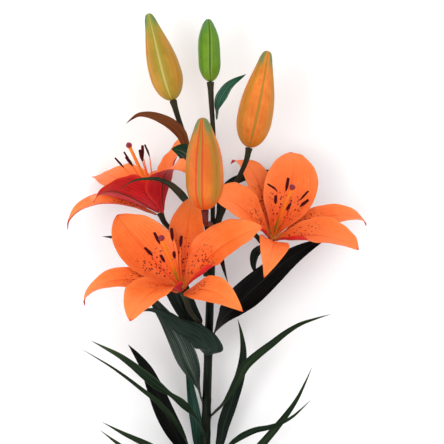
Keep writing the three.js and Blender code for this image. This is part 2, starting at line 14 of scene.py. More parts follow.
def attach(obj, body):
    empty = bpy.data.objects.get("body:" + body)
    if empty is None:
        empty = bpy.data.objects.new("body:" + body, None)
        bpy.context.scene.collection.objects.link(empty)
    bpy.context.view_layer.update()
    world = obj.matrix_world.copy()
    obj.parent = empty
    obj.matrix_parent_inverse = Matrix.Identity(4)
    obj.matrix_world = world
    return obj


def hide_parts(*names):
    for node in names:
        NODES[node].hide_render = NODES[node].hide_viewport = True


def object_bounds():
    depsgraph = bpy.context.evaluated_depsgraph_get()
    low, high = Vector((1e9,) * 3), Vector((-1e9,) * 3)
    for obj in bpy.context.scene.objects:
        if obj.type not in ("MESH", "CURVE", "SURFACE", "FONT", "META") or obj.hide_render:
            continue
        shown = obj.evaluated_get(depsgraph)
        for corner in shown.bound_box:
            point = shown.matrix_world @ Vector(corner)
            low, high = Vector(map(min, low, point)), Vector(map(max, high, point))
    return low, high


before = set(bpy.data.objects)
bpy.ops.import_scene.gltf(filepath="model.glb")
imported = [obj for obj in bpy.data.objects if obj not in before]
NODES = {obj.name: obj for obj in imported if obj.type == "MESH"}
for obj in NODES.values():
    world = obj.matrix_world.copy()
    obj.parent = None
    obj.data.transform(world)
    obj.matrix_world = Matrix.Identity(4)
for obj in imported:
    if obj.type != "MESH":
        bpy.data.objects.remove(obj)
CAD_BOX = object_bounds()

bl_info = {
    "name": "Cut lily stem",
    "version": (1, 0, 0),
    "blender": (4, 5, 0),
    "location": "View3D > Sidebar > Lily",
    "description": "Grows the tepals, stamens, buds, leaves and stem of a cut lily on its solids",
    "category": "Object",
}

MM = 0.001
STYLE_RADIUS = 1.45 * MM
CONE_RADIUS, CONE_HEIGHT = 2.7 * MM, 4.5 * MM
FOOT_DEPTH = 1.5 * MM  # how far a filament reaches down into the cone
CUT_RINGS, STEM_RINGS, TIP_RINGS = 6, 380, 4
STEM_CORNERS, BUD_CORNERS, STYLE_CORNERS, STALK_CORNERS = 48, 132, 36, 28
CAMERA_SPOT, CAMERA_AIM = (-0.001754, 0.073442), (0.003753, 0.06665, 0.048374)
BLADE_SIDES = 8
TUBE_SIDES = {"stem": 10, "stalk": 8, "bud": 12, "pistil": 8}
FLOWERS = ("front_flower", "right_flower", "back_flower")


# ---- Small tools for arrays ----
def unit(rows):
    """Each row divided by its own length."""
    return rows / np.maximum(np.linalg.norm(rows, axis=-1, keepdims=True), 1e-12)


def dots(a, b):
    """The dot product of each row of a with the same row of b, kept as a column."""
    return (a * b).sum(-1, keepdims=True)


def smooth(x, low, high):
    """Three t squared less two t cubed, where t is how far x is from low to high, held between 0 and 1."""
    t = np.clip((np.asarray(x, float) - low) / (high - low), 0, 1)
    return t * t * (3 - 2 * t)


def hump(x, centre, width):
    """A bell: e to the minus square of the distance from the centre in widths."""
    return np.exp(-(((x - centre) / width) ** 2))


def turns(count):
    """Even angles round a circle."""
    return np.linspace(0, 2 * np.pi, count, endpoint=False)


def way_along(points):
    """The distance walked from the first point to each one."""
    return np.r_[0, np.cumsum(np.linalg.norm(np.diff(points, axis=0), axis=1))]


def spline(knots, values, at):
    """Cubic Hermite pieces through the values, each slope taken from the neighbours on both sides."""
    knots, values, at = np.asarray(knots, float), np.asarray(values, float), np.asarray(at, float)
    slope = np.gradient(values, knots, axis=0)
    i = np.clip(np.searchsorted(knots, at, side="right") - 1, 0, len(knots) - 2)
    step = knots[i + 1] - knots[i]
    u = (at - knots[i]) / step
    if values.ndim > 1:
        step, u = step[:, None], u[:, None]
    rise = u * u * (3 - 2 * u)
    start = u * (1 - u) ** 2 * step
    end = u * u * (u - 1) * step
    return values[i] * (1 - rise) + values[i + 1] * rise + slope[i] * start + slope[i + 1] * end


# ---- Reading the solids back ----
def welded(node):
    """The corners of a CAD node, each once, and its triangles as rows of three corner numbers."""
    mesh = NODES[node].data
    corners = np.empty(len(mesh.vertices) * 3, np.float32)
    mesh.vertices.foreach_get("co", corners)
    mesh.calc_loop_triangles()
    triangles = np.empty(len(mesh.loop_triangles) * 3, np.int32)
    mesh.loop_triangles.foreach_get("vertices", triangles)
    corners = corners.reshape(-1, 3).astype(float)
    _, first, number = np.unique(np.round(corners / (0.001 * MM)), axis=0, return_index=True, return_inverse=True)
    triangles = number.reshape(-1)[triangles.reshape(-1, 3)]
    whole = (triangles != np.roll(triangles, 1, axis=1)).all(1)
    return corners[first], triangles[whole]


def touching(corners, triangles):
    """A square table of which corners share an edge."""
    near = np.zeros((len(corners), len(corners)), bool)
    near[triangles, np.roll(triangles, 1, axis=1)] = True
    return near | near.T


def climb(near, pole, sides):
    """The rings met one after another on the way from a pole, and the corners that come after the last of them."""
    seen = np.zeros(len(near), bool)
    seen[pole] = True
    front = near[pole] & ~seen
    rings = []
    while front.sum() == sides:
        rings.append(np.flatnonzero(front))
        seen |= front
        front = near[front].any(0) & ~seen
    return rings, np.flatnonzero(front)


def around(near, ring):
    """The corners of a ring in the order in which they follow one another."""
    order, left = [ring[0]], list(ring[1:])
    while left:
        following = next(c for c in left if near[order[-1], c])
        order.append(following)
        left.remove(following)
    return order


def rings_of(node, sides):
    """(rings as an array of rings by corners by 3, start point, end point) of a solid that is rings between poles."""
    corners, triangles = welded(node)
    near = touching(corners, triangles)
    poles = np.flatnonzero(near.sum(1) == sides)
    if len(poles) != 2:
        raise RuntimeError(f"{node} has {len(poles)} poles and not 2")
    rings, last = climb(near, poles[0], sides)
    if len(last) != 1 or last[0] != poles[1]:
        raise RuntimeError(f"{node} isn't rings of {sides} corners between two poles")
    loops = np.array([corners[around(near, ring)] for ring in rings])
    return loops, corners[poles[0]], corners[poles[1]]


def blade_of(node):
    """Centre, side, up, half width and cup angle at each ring of a leaf or tepal, and its tip."""
    loops, start, end = rings_of(node, BLADE_SIDES)
    if np.linalg.norm(loops[0].mean(0) - start) > np.linalg.norm(loops[-1].mean(0) - end):
        loops, end = loops[::-1], start
    middles = np.vstack([loops.mean(1), end])
    way = unit(np.diff(middles, axis=0))
    turned = np.cross(loops - middles[:-1, None], np.roll(loops, -1, axis=1) - middles[:-1, None]).sum(1)
    loops = np.where((dots(turned, way) < 0)[:, :, None], loops[:, ::-1], loops)
    shifts = np.arange(BLADE_SIDES // 2)
    steps = np.arange(1, BLADE_SIDES // 2)
    fore, back = (shifts[:, None] + steps) % BLADE_SIDES, (shifts[:, None] - steps) % BLADE_SIDES
    cost = np.linalg.norm(loops[:, fore] - loops[:, back], axis=-1).sum(-1)
    rows = (np.arange(BLADE_SIDES) + cost.argmin(1)[:, None]) % BLADE_SIDES
    loops = np.take_along_axis(loops, rows[:, :, None], 1)
    side = unit(loops[:, 0] - loops[:, 4])
    agree = np.cumprod(np.sign(np.r_[1, (side[1:] * side[:-1]).sum(-1)]))
    loops = np.where((agree < 0)[:, None, None], np.roll(loops, 4, axis=1), loops)
    lift = (loops[:, 0] + loops[:, 4] - loops[:, 2] - loops[:, 6]) / 2
    if (lift * unit(loops[:, 2] - loops[:, 6])).sum() < 0:
        loops = np.roll(loops, 4, axis=1)
    up, side = unit(loops[:, 2] - loops[:, 6]), unit(loops[:, 0] - loops[:, 4])
    centre = (loops[:, 2] + loops[:, 6]) / 2
    lateral = np.linalg.norm(loops[:, 0] - loops[:, 4], axis=-1) / 2
    lift = (((loops[:, 0] + loops[:, 4]) / 2 - centre) * up).sum(-1)
    cup = 2 * np.arctan2(np.maximum(lift, 1e-6 * MM), lateral)
    return {"centre": centre, "side": side, "up": up, "half": lateral * cup / np.sin(cup), "cup": cup, "tip": end}


def tube_of(node, sides):
    """(points along the middle, radius at each) of a round solid, both ends included with a radius of 0."""
    loops, start, end = rings_of(node, sides)
    middles = loops.mean(1)
    radii = np.linalg.norm(loops - middles[:, None], axis=-1).mean(1)
    return np.vstack([start, middles, end]), np.r_[0, radii, 0]


# ---- Putting grids into meshes ----
def shell(name, rings, start, end, fields, material, slot, *nodes):
    """A closed skin over a grid of rings, shut by a point at each end, with one value or vector a corner per field.

    The squares join ring to ring and corner to corner round each ring; the fields are given for the grid, and each
    end point takes the mean of the ring next to it.
    """
    count, sides = rings.shape[:2]
    corners = np.vstack([rings.reshape(-1, 3), start, end])
    here = np.arange(count * sides).reshape(count, sides)
    nxt = np.roll(here, -1, axis=1)
    squares = np.stack([here[:-1], nxt[:-1], nxt[1:], here[1:]], -1).reshape(-1, 4)
    first = np.stack([np.full(sides, count * sides), nxt[0], here[0]], -1)
    last = np.stack([here[-1], nxt[-1], np.full(sides, count * sides + 1)], -1)
    a, b, c, d = (corners[squares[:, k]] for k in range(4))
    if (np.cross(b - a, c - a) * a + np.cross(c - a, d - a) * a).sum() < 0:
        squares, first, last = squares[:, ::-1], first[:, ::-1], last[:, ::-1]
    mesh = bpy.data.meshes.new(name)
    loops = np.concatenate([squares.ravel(), first.ravel(), last.ravel()]).astype(np.int32)
    lengths = np.concatenate([np.full(len(squares), 4), np.full(2 * sides, 3)])
    mesh.vertices.add(len(corners))
    mesh.loops.add(len(loops))
    mesh.polygons.add(len(lengths))
    mesh.vertices.foreach_set("co", corners.astype(np.float32).ravel())
    mesh.loops.foreach_set("vertex_index", loops)
    mesh.polygons.foreach_set("loop_start", np.r_[0, np.cumsum(lengths)[:-1]].astype(np.int32))
    mesh.update(calc_edges=True)
    for field, values in fields.items():
        values = np.broadcast_to(values, rings.shape[:2] + np.shape(values)[2:])
        flat = np.concatenate([values.reshape((-1,) + values.shape[2:]), values[:1].mean(1), values[-1:].mean(1)])
        kind, key = ("FLOAT_VECTOR", "vector") if values.ndim == 3 else ("FLOAT", "value")
        mesh.attributes.new(field, kind, "POINT").data.foreach_set(key, flat.astype(np.float32).ravel())
    mesh.shade_smooth()
    mesh.validate()
    piece = bpy.data.objects.new(name, mesh)
    bpy.context.scene.collection.objects.link(piece)
    mesh.materials.append(material)
    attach(piece, "root")
    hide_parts(*nodes)
    return piece


def path_frames(points):
    """Unit tangents, normals and binormals along a path; the normals keep as near as they can to one direction."""
    tangent = unit(np.gradient(points, axis=0))
    fixed = np.eye(3)[np.abs(tangent).mean(0).argmin()]
    normal = unit(fixed - dots(tangent, fixed[None]) * tangent)
    return tangent, normal, np.cross(tangent, normal)


def sweep(points, radius, sides):
    """Rings round a path: the radius, a grid of steps by sides, taken out from the path at even angles."""
    _, normal, binormal = path_frames(points)
    angle = turns(sides)
    out = normal[:, None] * np.cos(angle)[:, None] + binormal[:, None] * np.sin(angle)[:, None]
    return points[:, None] + out * radius[..., None], angle


def tube_fields(points, radius, angle):
    """Where each corner would be on the straightened tube, in mm, and its share of the way along."""
    run = way_along(points)
    flat = np.stack(np.broadcast_arrays(radius * np.cos(angle), radius * np.sin(angle), run[:, None]), -1) / MM
    return {"unbent": flat, "along": np.broadcast_to((run / run[-1])[:, None], radius.shape)}


# ---- Leaves and tepals ----
def blade(name, node, material, slot, seed, steps=150, columns=40, blunt=0.85, thick=(1.0, 0.4), ruffle=0.0,
          waves=4.0, furrow=0.0, ribs=0, rib_height=0.0, hook=0.0, rolls=(), root=1.2):
    """A thin blade carried along the midline of its solid.

    At each share t of the midline the section is a curve from margin to margin: its slope is the cup angle times the
    place v across it, from -1 to 1, plus the roll of a margin, and its points are the sums of the cosine and sine of
    that slope times the half width. To the mid surface come a furrow along the midrib, ribs of even spacing, and
    ruffles that grow with the cube of v; the two faces stand off it by half the thickness.
    """
    chance = np.random.default_rng(seed)
    at = blade_of(node)
    knots = np.arange(len(at["half"])) / len(at["half"])
    t = 1 - (1 - np.linspace(0, 1, steps + 1)[:-1]) ** 1.15
    envelope = lambda x: 0.1 * (1 - x) + np.sin(np.pi * np.clip(x, 1e-4, 1) ** 1.05) ** blunt
    half = spline(knots, at["half"] / envelope(knots), np.minimum(t, knots[-1])) * envelope(t)
    centre = spline(np.r_[knots, 1], np.vstack([at["centre"], at["tip"]]), t)
    along = unit(np.gradient(centre, axis=0))
    held = np.minimum(t, knots[-1])
    up = spline(knots, at["up"], held)
    up = unit(up - dots(up, along) * along)
    side = np.cross(up, along)
    cup = spline(knots, at["cup"], held)[:, None]
    v = np.sin(np.linspace(-1, 1, columns + 1) * np.pi / 2 * 0.8) / np.sin(np.pi / 2 * 0.8)
    t2, v2 = t[:, None], v[None]
    slope = cup * v2 * np.ones_like(t2)
    for which, begin, finish, inner, angle in rolls:
        window = smooth(t2, begin, begin + 0.12) * (1 - smooth(t2, finish - 0.12, finish))
        slope = slope + which * angle * window * smooth(which * v2, inner, 1)
    step = np.diff(v)[None] / 2
    sums = (np.cumsum((wave(slope[:, 1:]) + wave(slope[:, :-1])) * step, 1) for wave in (np.cos, np.sin))
    lateral, lift = (np.concatenate([np.zeros_like(t2), total], 1) for total in sums)
    middle = columns // 2
    lateral, lift = lateral - lateral[:, middle:middle + 1], lift - lift[:, middle:middle + 1]
    phase = chance.uniform(0, 2 * np.pi, 6)
    edge = np.where(v2 > 0, np.sin(2 * np.pi * waves * t2 + phase[0]), np.sin(2 * np.pi * waves * 1.13 * t2 + phase[1]))
    edge = edge + 0.5 * np.where(v2 > 0, np.sin(2 * np.pi * waves * 2.3 * t2 + phase[2]),
                                 np.sin(2 * np.pi * waves * 2.1 * t2 + phase[3]))
    free = smooth(t2, 0.12, 0.45) * (1 - smooth(t2, 0.88, 1))
    relief = ruffle * MM * np.abs(v2) ** 3 * edge * free
    relief = relief - furrow * MM * hump(v2, 0, 0.09) * (1 - 0.75 * t2) * smooth(t2, 0, 0.1)
    relief = relief + rib_height * MM * np.cos(2 * np.pi * ribs * v2) * free
    surface = centre[:, None] + side[:, None] * (half[:, None] * lateral)[..., None] \
        + up[:, None] * (half[:, None] * lift + relief)[..., None]
    surface = surface - up[:, None] * (hook * MM * smooth(t2, 0.93, 1) * np.ones_like(v2))[..., None]
    normal = side[:, None] * -np.sin(slope)[..., None] + up[:, None] * np.cos(slope)[..., None]
    depth = MM * (thick[0] + (thick[1] - thick[0]) * np.abs(v2) ** 1.2) * (1 - 0.45 * t2) \
        + 0.5 * MM * (1 - smooth(t2, 0, 0.08))
    depth = np.minimum(depth, 1.2 * half[:, None] + 0.05 * MM)
    sheet = np.sqrt(np.clip(1 - np.abs(v2) ** 12, 0, 1))
    upper, lower = (surface + sign * normal * (0.5 * depth * sheet)[..., None] for sign in (1, -1))
    rings = np.concatenate([upper[:, ::-1], lower[:, 1:-1]], 1)
    run = way_along(centre)
    shift = 40.0 * seed
    flat = np.stack(np.broadcast_arrays(half[:, None] * v2 / MM + shift, np.zeros_like(t2), run[:, None] / MM), -1)
    flat = np.concatenate([flat[:, ::-1], flat[:, 1:-1]], 1)
    across = np.r_[v[::-1], v[1:-1]][None] * np.ones_like(t2)
    face = np.r_[np.ones(columns + 1), -np.ones(columns - 1)]
    face[[0, columns]] = 0
    fields = {"unbent": flat, "along": t2 * np.ones_like(across), "across": across,
              "face": face[None] * np.ones_like(t2)}
    base = centre[0] - along[0] * root * MM
    tip = at["tip"] - up[-1] * hook * MM
    shell(name, rings, base, tip, fields, material, slot, node)


# ---- Shader nodes ----
class Recipe:
    """Writes the nodes of one material or group, one call to a node, with sockets or plain values as inputs."""

    def __init__(self, tree):
        self.tree = tree

    def node(self, kind, inputs=None, **settings):
        made = self.tree.nodes.new(kind)
        for key, value in settings.items():
            setattr(made, key, value)
        for key, value in (inputs or {}).items():
            socket = made.inputs[key]
            if isinstance(value, bpy.types.NodeSocket):
                self.tree.links.new(value, socket)
            elif socket.type == "RGBA":
                socket.default_value = (*value[:3], 1)
            else:
                socket.default_value = value
        return made

    def math(self, operation, a, b=0.0, c=0.0):
        return self.node("ShaderNodeMath", {0: a, 1: b, 2: c}, operation=operation).outputs[0]

    def times(self, a, b):
        return self.math("MULTIPLY", a, b)

    def band(self, value, low, high, out_low=0.0, out_high=1.0):
        inputs = {"Value": value, "From Min": low, "From Max": high, "To Min": out_low, "To Max": out_high}
        return self.node("ShaderNodeMapRange", inputs, interpolation_type="SMOOTHSTEP").outputs["Result"]

    def mix(self, share, a, b):
        made = self.node("ShaderNodeMix", data_type="RGBA")
        for number, value in ((0, share), (6, a), (7, b)):
            if isinstance(value, bpy.types.NodeSocket):
                self.tree.links.new(value, made.inputs[number])
            elif number:
                made.inputs[number].default_value = (*value[:3], 1)
            else:
                made.inputs[0].default_value = value
        return made.outputs[2]

    def fields(self, *names):
        """The named fields of the piece: a vector for the place on the unbent piece, a number for the others."""
        made = [self.node("ShaderNodeAttribute", attribute_name=name).outputs for name in names]
        return [out["Vector" if name == "unbent" else "Fac"] for name, out in zip(names, made)]

    def stretched(self, vector, scale):
        made = self.node("ShaderNodeVectorMath", {0: vector, 1: scale}, operation="MULTIPLY")
        return made.outputs[0]

    def noise(self, vector, scale, detail=3.0, roughness=0.55):
        inputs = {"Vector": vector, "Scale": scale, "Detail": detail, "Roughness": roughness}
        return self.node("ShaderNodeTexNoise", inputs).outputs[0]

    def bump(self, height, strength, distance):
        inputs = {"Height": height, "Strength": strength, "Distance": distance}
        return self.node("ShaderNodeBump", inputs).outputs["Normal"]


def group(name, inputs, output, write):
    """A shader node group with the named number inputs and a Vector, and one output that write works out."""
    tree = bpy.data.node_groups.new(name, "ShaderNodeTree")
    tree.interface.new_socket("Vector", in_out="INPUT", socket_type="NodeSocketVector")
    for key in inputs:
        tree.interface.new_socket(key, in_out="INPUT", socket_type="NodeSocketFloat")
    tree.interface.new_socket(output, in_out="OUTPUT", socket_type="NodeSocketFloat")
    recipe = Recipe(tree)
    given = recipe.node("NodeGroupInput").outputs
    end = recipe.node("NodeGroupOutput")
    tree.links.new(write(recipe, given), end.inputs[output])
    return tree


def write_streaks(r, given):
    """Noise that is drawn out along the piece, spread until it fills 0 to 1: fine lines of a plant's skin."""
    drawn = r.node("ShaderNodeCombineXYZ", {0: given["Across"], 1: given["Across"], 2: given["Along"]}).outputs[0]
    noise = r.noise(r.stretched(given["Vector"], drawn), 1.0, 4.0, 0.6)
    return r.band(noise, 0.3, 0.7)


def write_mottle(r, given):
    """Soft clouds of two sizes, the smaller at a third of the strength."""
    large = r.noise(given["Vector"], given["Scale"], 2.0)
    small = r.noise(given["Vector"], r.times(given["Scale"], 5.0), 3.0)
    return r.math("MULTIPLY_ADD", small, 0.33, r.times(large, 0.67))


def write_specks(r, given):
    """Dots on some cells of a mesh of cells: 1 inside a dot, 0 between; a cell's own number sets its dot's size."""
    cells = r.node("ShaderNodeTexVoronoi", {"Vector": given["Vector"], "Scale": given["Scale"], "Randomness": 1.0})
    chance = r.node("ShaderNodeSeparateXYZ", {0: cells.outputs["Color"]}).outputs[0]
    size = r.times(r.band(chance, 0.12, 0.7), given["Size"])
    edge = r.math("SUBTRACT", size, cells.outputs["Distance"])
    return r.band(edge, 0.0, 0.09)


def finish_nodes(name, write, roughness=0.45, **shader):
    """A material of one Principled shader; write returns the sockets for its colour, normal and roughness."""
    material = bpy.data.materials.new(name)
    material.use_nodes = True
    material.node_tree.nodes.clear()
    recipe = Recipe(material.node_tree)
    made = write(recipe)
    inputs = {"Base Color": made["colour"], "Roughness": made.get("roughness", roughness)}
    if "normal" in made:
        inputs["Normal"] = made["normal"]
    inputs.update(shader)
    skin = recipe.node("ShaderNodeBsdfPrincipled", inputs)
    recipe.node("ShaderNodeOutputMaterial", {"Surface": skin.outputs[0]})
    return material


GROUPS = {}


def streaks(r, vector, across, along):
    made = r.node("ShaderNodeGroup", node_tree=GROUPS["streaks"])
    r.tree.links.new(vector, made.inputs["Vector"])
    made.inputs["Across"].default_value = across
    made.inputs["Along"].default_value = along
    return made.outputs["Streak"]


def mottle(r, vector, scale):
    made = r.node("ShaderNodeGroup", node_tree=GROUPS["mottle"])
    r.tree.links.new(vector, made.inputs["Vector"])
    made.inputs["Scale"].default_value = scale
    return made.outputs["Cloud"]


def specks(r, vector, scale, size):
    made = r.node("ShaderNodeGroup", node_tree=GROUPS["specks"])
    r.tree.links.new(vector, made.inputs["Vector"])
    made.inputs["Scale"].default_value = scale
    made.inputs["Size"].default_value = size
    return made.outputs["Dot"]


def make_groups():
    """The three effects that several finishes share."""
    GROUPS["streaks"] = group("skin streaks", ("Across", "Along"), "Streak", write_streaks)
    GROUPS["mottle"] = group("soft mottle", ("Scale",), "Cloud", write_mottle)
    GROUPS["specks"] = group("petal specks", ("Scale", "Size"), "Dot", write_specks)


# ---- Finishes ----
def veins(r, across, count, sharp):
    """Even lines along the blade, from the cosine of the place across it, sharpened by a power."""
    wave = r.math("COSINE", r.times(across, math.pi * count))
    lifted = r.math("MULTIPLY_ADD", wave, 0.5, 0.5)
    return r.math("POWER", lifted, sharp)


def tepal_finish(c):
    def write(r):
        place, t, v, face = r.fields("unbent", "along", "across", "face")
        out = r.math("ABSOLUTE", v)
        line = streaks(r, place, 0.9, 0.05)
        cloud = mottle(r, place, 0.035)
        lines = veins(r, r.math("MULTIPLY_ADD", cloud, 0.08, v), 15, 6)
        inner = r.mix(r.band(t, 0.05, 0.75), c.throat_colour, c.inner_colour)
        inner = r.mix(r.times(r.band(t, 0.55, 1.0), 0.55), inner, c.inner_light)
        inner = r.mix(r.times(r.band(cloud, 0.4, 0.62), 0.45), inner, c.inner_light)
        inner = r.mix(r.times(r.band(out, 0.72, 1.0), 0.35), inner, c.inner_light)
        shade = r.times(r.times(line, lines), 0.32)
        inner = r.mix(shade, inner, c.vein_colour)
        rib = r.times(r.band(out, 0.02, 0.085, 1.0, 0.0), r.band(t, 0.35, 0.9, 0.7, 0.1))
        inner = r.mix(rib, inner, c.vein_colour)
        heart = r.times(r.band(t, 0.0, 0.13, 1.0, 0.0), 0.85)
        inner = r.mix(heart, inner, c.heart_colour)
        where = r.times(r.band(t, 0.09, 0.16), r.band(t, 0.38, 0.54, 1.0, 0.0))
        where = r.times(where, r.band(out, 0.5, 0.8, 1.0, 0.0))
        dots_ = specks(r, r.stretched(place, (1.0, 1.0, 0.85)), 0.5, 0.46)
        dot = r.times(dots_, where)
        inner = r.mix(dot, inner, c.speck_colour)
        red = r.mix(r.band(line, 0.2, 0.9, 0.0, 0.6), c.back_colour, c.back_dark)
        red = r.mix(r.times(r.band(out, 0.75, 1.0), 0.75), red, c.back_rim)
        red = r.mix(r.times(r.band(t, 0.62, 1.0), 0.5), red, c.back_rim)
        keel = r.times(r.band(out, 0.03, 0.1, 1.0, 0.0), 0.8)
        red = r.mix(keel, red, c.back_rib)
        colour = r.mix(r.band(face, -0.35, 0.35), red, inner)
        tip = r.times(r.band(t, 0.965, 0.995), 0.7)
        colour = r.mix(tip, colour, c.back_colour)
        height = r.math("ADD", r.times(lines, 0.5), r.times(dot, 0.8))
        height = r.math("ADD", height, r.times(line, 0.35))
        return {"colour": colour, "normal": r.bump(height, 0.35, 0.0006),
                "roughness": r.band(cloud, 0.3, 0.7, 0.42, 0.55)}
    shader = {"Subsurface Weight": 0.12, "Subsurface Radius": (0.004, 0.0012, 0.0006), "Subsurface Scale": 0.6}
    return finish_nodes("tepal skin", write, **shader, **{"Specular IOR Level": 0.22})


def leaf_finish(name, dark, light, tip, back, rim=0.0, count=9, gloss=0.36, stripe=0.8, painted_sheen=0.0):
    def write(r):
        place, t, v, face = r.fields("unbent", "along", "across", "face")
        out = r.math("ABSOLUTE", v)
        line = streaks(r, place, 0.75, 0.03)
        broad = streaks(r, place, 0.22, 0.012)
        lines = veins(r, v, count, 3)
        # The light colour over the streaks is partly the leaf's own grey green and partly painted highlight.
        body = r.mix(r.times(r.times(line, broad), stripe), dark, light)
        # Painted highlight: over the middle of the leaf the light colour is laid along the streaks once more, for the
        # sheen of light on the glossy leaf; its strength is set per finish.
        middle = r.times(r.band(t, 0.12, 0.42), r.band(t, 0.6, 0.95, 1.0, 0.0))
        shine = r.times(middle, r.math("MULTIPLY_ADD", broad, 0.6, r.times(line, 0.4)))
        body = r.mix(r.times(shine, painted_sheen), body, light)
        # Painted shade: the leaf is darkened in the grooves between the veins, the more where the painted highlight is
        # strong.
        painted_groove_shade = r.times(r.math("POWER", r.math("SUBTRACT", 1.0, lines), 2.0), 0.5)
        body = r.mix(r.times(painted_groove_shade, r.math("MULTIPLY_ADD", painted_sheen, 1.3, 0.2)), body, dark)
        body = r.mix(r.times(lines, 0.14), body, light)
        rib = r.times(r.band(out, 0.03, 0.12, 1.0, 0.0), 0.5)
        body = r.mix(rib, body, light)
        body = r.mix(r.times(r.band(out, 0.86, 0.97), rim), body, tip)
        body = r.mix(r.times(r.band(t, 0.7, 1.0), 0.8), body, tip)
        under = r.mix(r.times(line, 0.6), back, light)
        colour = r.mix(r.band(face, -0.3, 0.3), under, body)
        height = r.math("ADD", r.times(lines, 0.7), r.times(line, 0.5))
        return {"colour": colour, "normal": r.bump(height, 0.5, 0.0007),
                "roughness": r.band(line, 0.1, 0.9, gloss - 0.02, gloss + 0.16)}
    return finish_nodes(name, write, **{"Specular IOR Level": 0.06})


def bud_finish(name, c):
    def write(r):
        place, t, v = r.fields("unbent", "along", "across")
        out = r.math("ABSOLUTE", v)
        line = streaks(r, place, 0.6, 0.03)
        cloud = mottle(r, place, 0.04)
        body = r.mix(r.band(cloud, 0.38, 0.62), c["body"], c["body_light"])
        body = r.mix(r.times(line, 0.3), body, c["streak"])
        body = r.mix(r.times(r.band(out, 0.45, 0.92), c["edge_share"]), body, c["edge"])
        body = r.mix(r.times(r.band(t, 0.62, 0.98), c["tip_share"]), body, c["tip"])
        shoulder = r.times(r.band(t, 0.8, 0.92), r.band(out, 0.3, 0.55))
        body = r.mix(r.times(shoulder, c["shoulder_share"]), body, c["shoulder"])
        body = r.mix(r.times(r.band(t, 0.0, 0.2, 1.0, 0.0), c["base_share"]), body, c["base"])
        beside = r.times(r.band(out, 0.06, 0.13), r.band(out, 0.16, 0.26, 1.0, 0.0))
        body = r.mix(r.times(beside, c["flank_share"]), body, c["flank"])
        rib = r.band(out, 0.035, 0.09, 1.0, 0.0)
        body = r.mix(r.times(rib, 0.85), body, c["rib"])
        seam = r.band(out, 0.955, 0.99)
        body = r.mix(r.times(seam, 0.7), body, c["seam"])
        return {"colour": body, "normal": r.bump(line, 0.35, 0.0006),
                "roughness": r.band(cloud, 0.3, 0.7, 0.4, 0.52)}
    return finish_nodes(name, write, **{"Subsurface Weight": 0.06, "Subsurface Radius": (0.002, 0.0012, 0.0005),
                                        "Subsurface Scale": 0.5, "Specular IOR Level": 0.25})


def stalk_finish(name, dark, light, flush):
    def write(r):
        place, t = r.fields("unbent", "along")
        line = streaks(r, place, 0.9, 0.05)
        cloud = mottle(r, place, 0.08)
        body = r.mix(line, dark, light)
        body = r.mix(r.times(r.band(cloud, 0.42, 0.62), 0.5), body, flush)
        body = r.mix(r.times(r.band(t, 0.82, 1.0), 0.5), body, light)
        pores = specks(r, place, 1.3, 0.3)
        body = r.mix(r.times(pores, 0.35), body, dark)
        height = r.math("MULTIPLY_ADD", line, 0.7, pores)
        return {"colour": body, "normal": r.bump(height, 0.4, 0.0005)}
    return finish_nodes(name, write, roughness=0.45, **{"Specular IOR Level": 0.1})


def stem_finish(c):
    def write(r):
        place, t, cut = r.fields("unbent", "along", "cut")
        line = streaks(r, place, 0.6, 0.03)
        cloud = mottle(r, place, 0.06)
        body = r.mix(line, c.stem_dark, c.stem_light)
        body = r.mix(r.times(r.band(cloud, 0.42, 0.62), 0.45), body, c.stem_flush)
        body = r.mix(r.times(r.band(t, 0.75, 1.0), 0.4), body, c.stem_light)
        pores = specks(r, place, 0.8, 0.3)
        body = r.mix(r.times(pores, 0.5), body, c.stem_dark)
        pith = r.mix(r.band(cut, 0.45, 0.9), c.rind_colour, c.pith_colour)
        strands = specks(r, place, 1.1, 0.35)
        pith = r.mix(r.times(strands, 0.5), pith, c.rind_colour)
        body = r.mix(r.band(cut, 0.02, 0.12), body, pith)
        height = r.math("MULTIPLY_ADD", line, 0.8, pores)
        return {"colour": body, "normal": r.bump(height, 0.45, 0.0006)}
    return finish_nodes("stem skin", write, roughness=0.45, **{"Specular IOR Level": 0.06})


def anther_finish(c):
    def write(r):
        place, = r.fields("unbent")
        cloud = mottle(r, place, 0.4)
        dust = specks(r, place, 3.2, 0.5)
        body = r.mix(r.band(cloud, 0.35, 0.65), c.anther_dark, c.anther_light)
        body = r.mix(r.times(dust, 0.5), body, c.pollen_colour)
        return {"colour": body, "normal": r.bump(dust, 0.6, 0.0004)}
    return finish_nodes("anther dust", write, roughness=0.85, **{"Specular IOR Level": 0.08})


def filament_finish(c):
    def write(r):
        place, t = r.fields("unbent", "along")
        line = streaks(r, place, 1.6, 0.06)
        body = r.mix(r.band(t, 0.0, 0.35), c.filament_base, c.filament_colour)
        body = r.mix(r.times(line, 0.3), body, c.filament_tip)
        body = r.mix(r.band(t, 0.8, 1.0), body, c.filament_tip)
        return {"colour": body, "normal": r.bump(line, 0.3, 0.0003)}
    return finish_nodes("filament skin", write, roughness=0.4, **{"Specular IOR Level": 0.2})


def pistil_finish(c):
    def write(r):
        place, t = r.fields("unbent", "along")
        line = streaks(r, place, 1.4, 0.05)
        body = r.mix(r.band(t, 0.24, 0.42), c.ovary_colour, c.style_colour)
        body = r.mix(r.times(line, 0.3), body, c.filament_tip)
        cloud = mottle(r, place, 0.8)
        knob = r.mix(r.band(cloud, 0.4, 0.6), c.stigma_colour, c.stigma_light)
        body = r.mix(r.band(t, 0.91, 0.95), body, knob)
        return {"colour": body, "normal": r.bump(r.math("ADD", line, cloud), 0.4, 0.0004)}
    return finish_nodes("pistil skin", write, roughness=0.4, **{"Specular IOR Level": 0.2})


# ---- Sizes and colours that a user would change ----
def colour(name, description, default):
    return FloatVectorProperty(name=name, description=description, default=default, size=3, min=0.0, max=1.0,
                               subtype="COLOR")


def length(name, description, default):
    return FloatProperty(name=name, description=description, default=default * MM, min=0.0, unit="LENGTH",
                         precision=5)


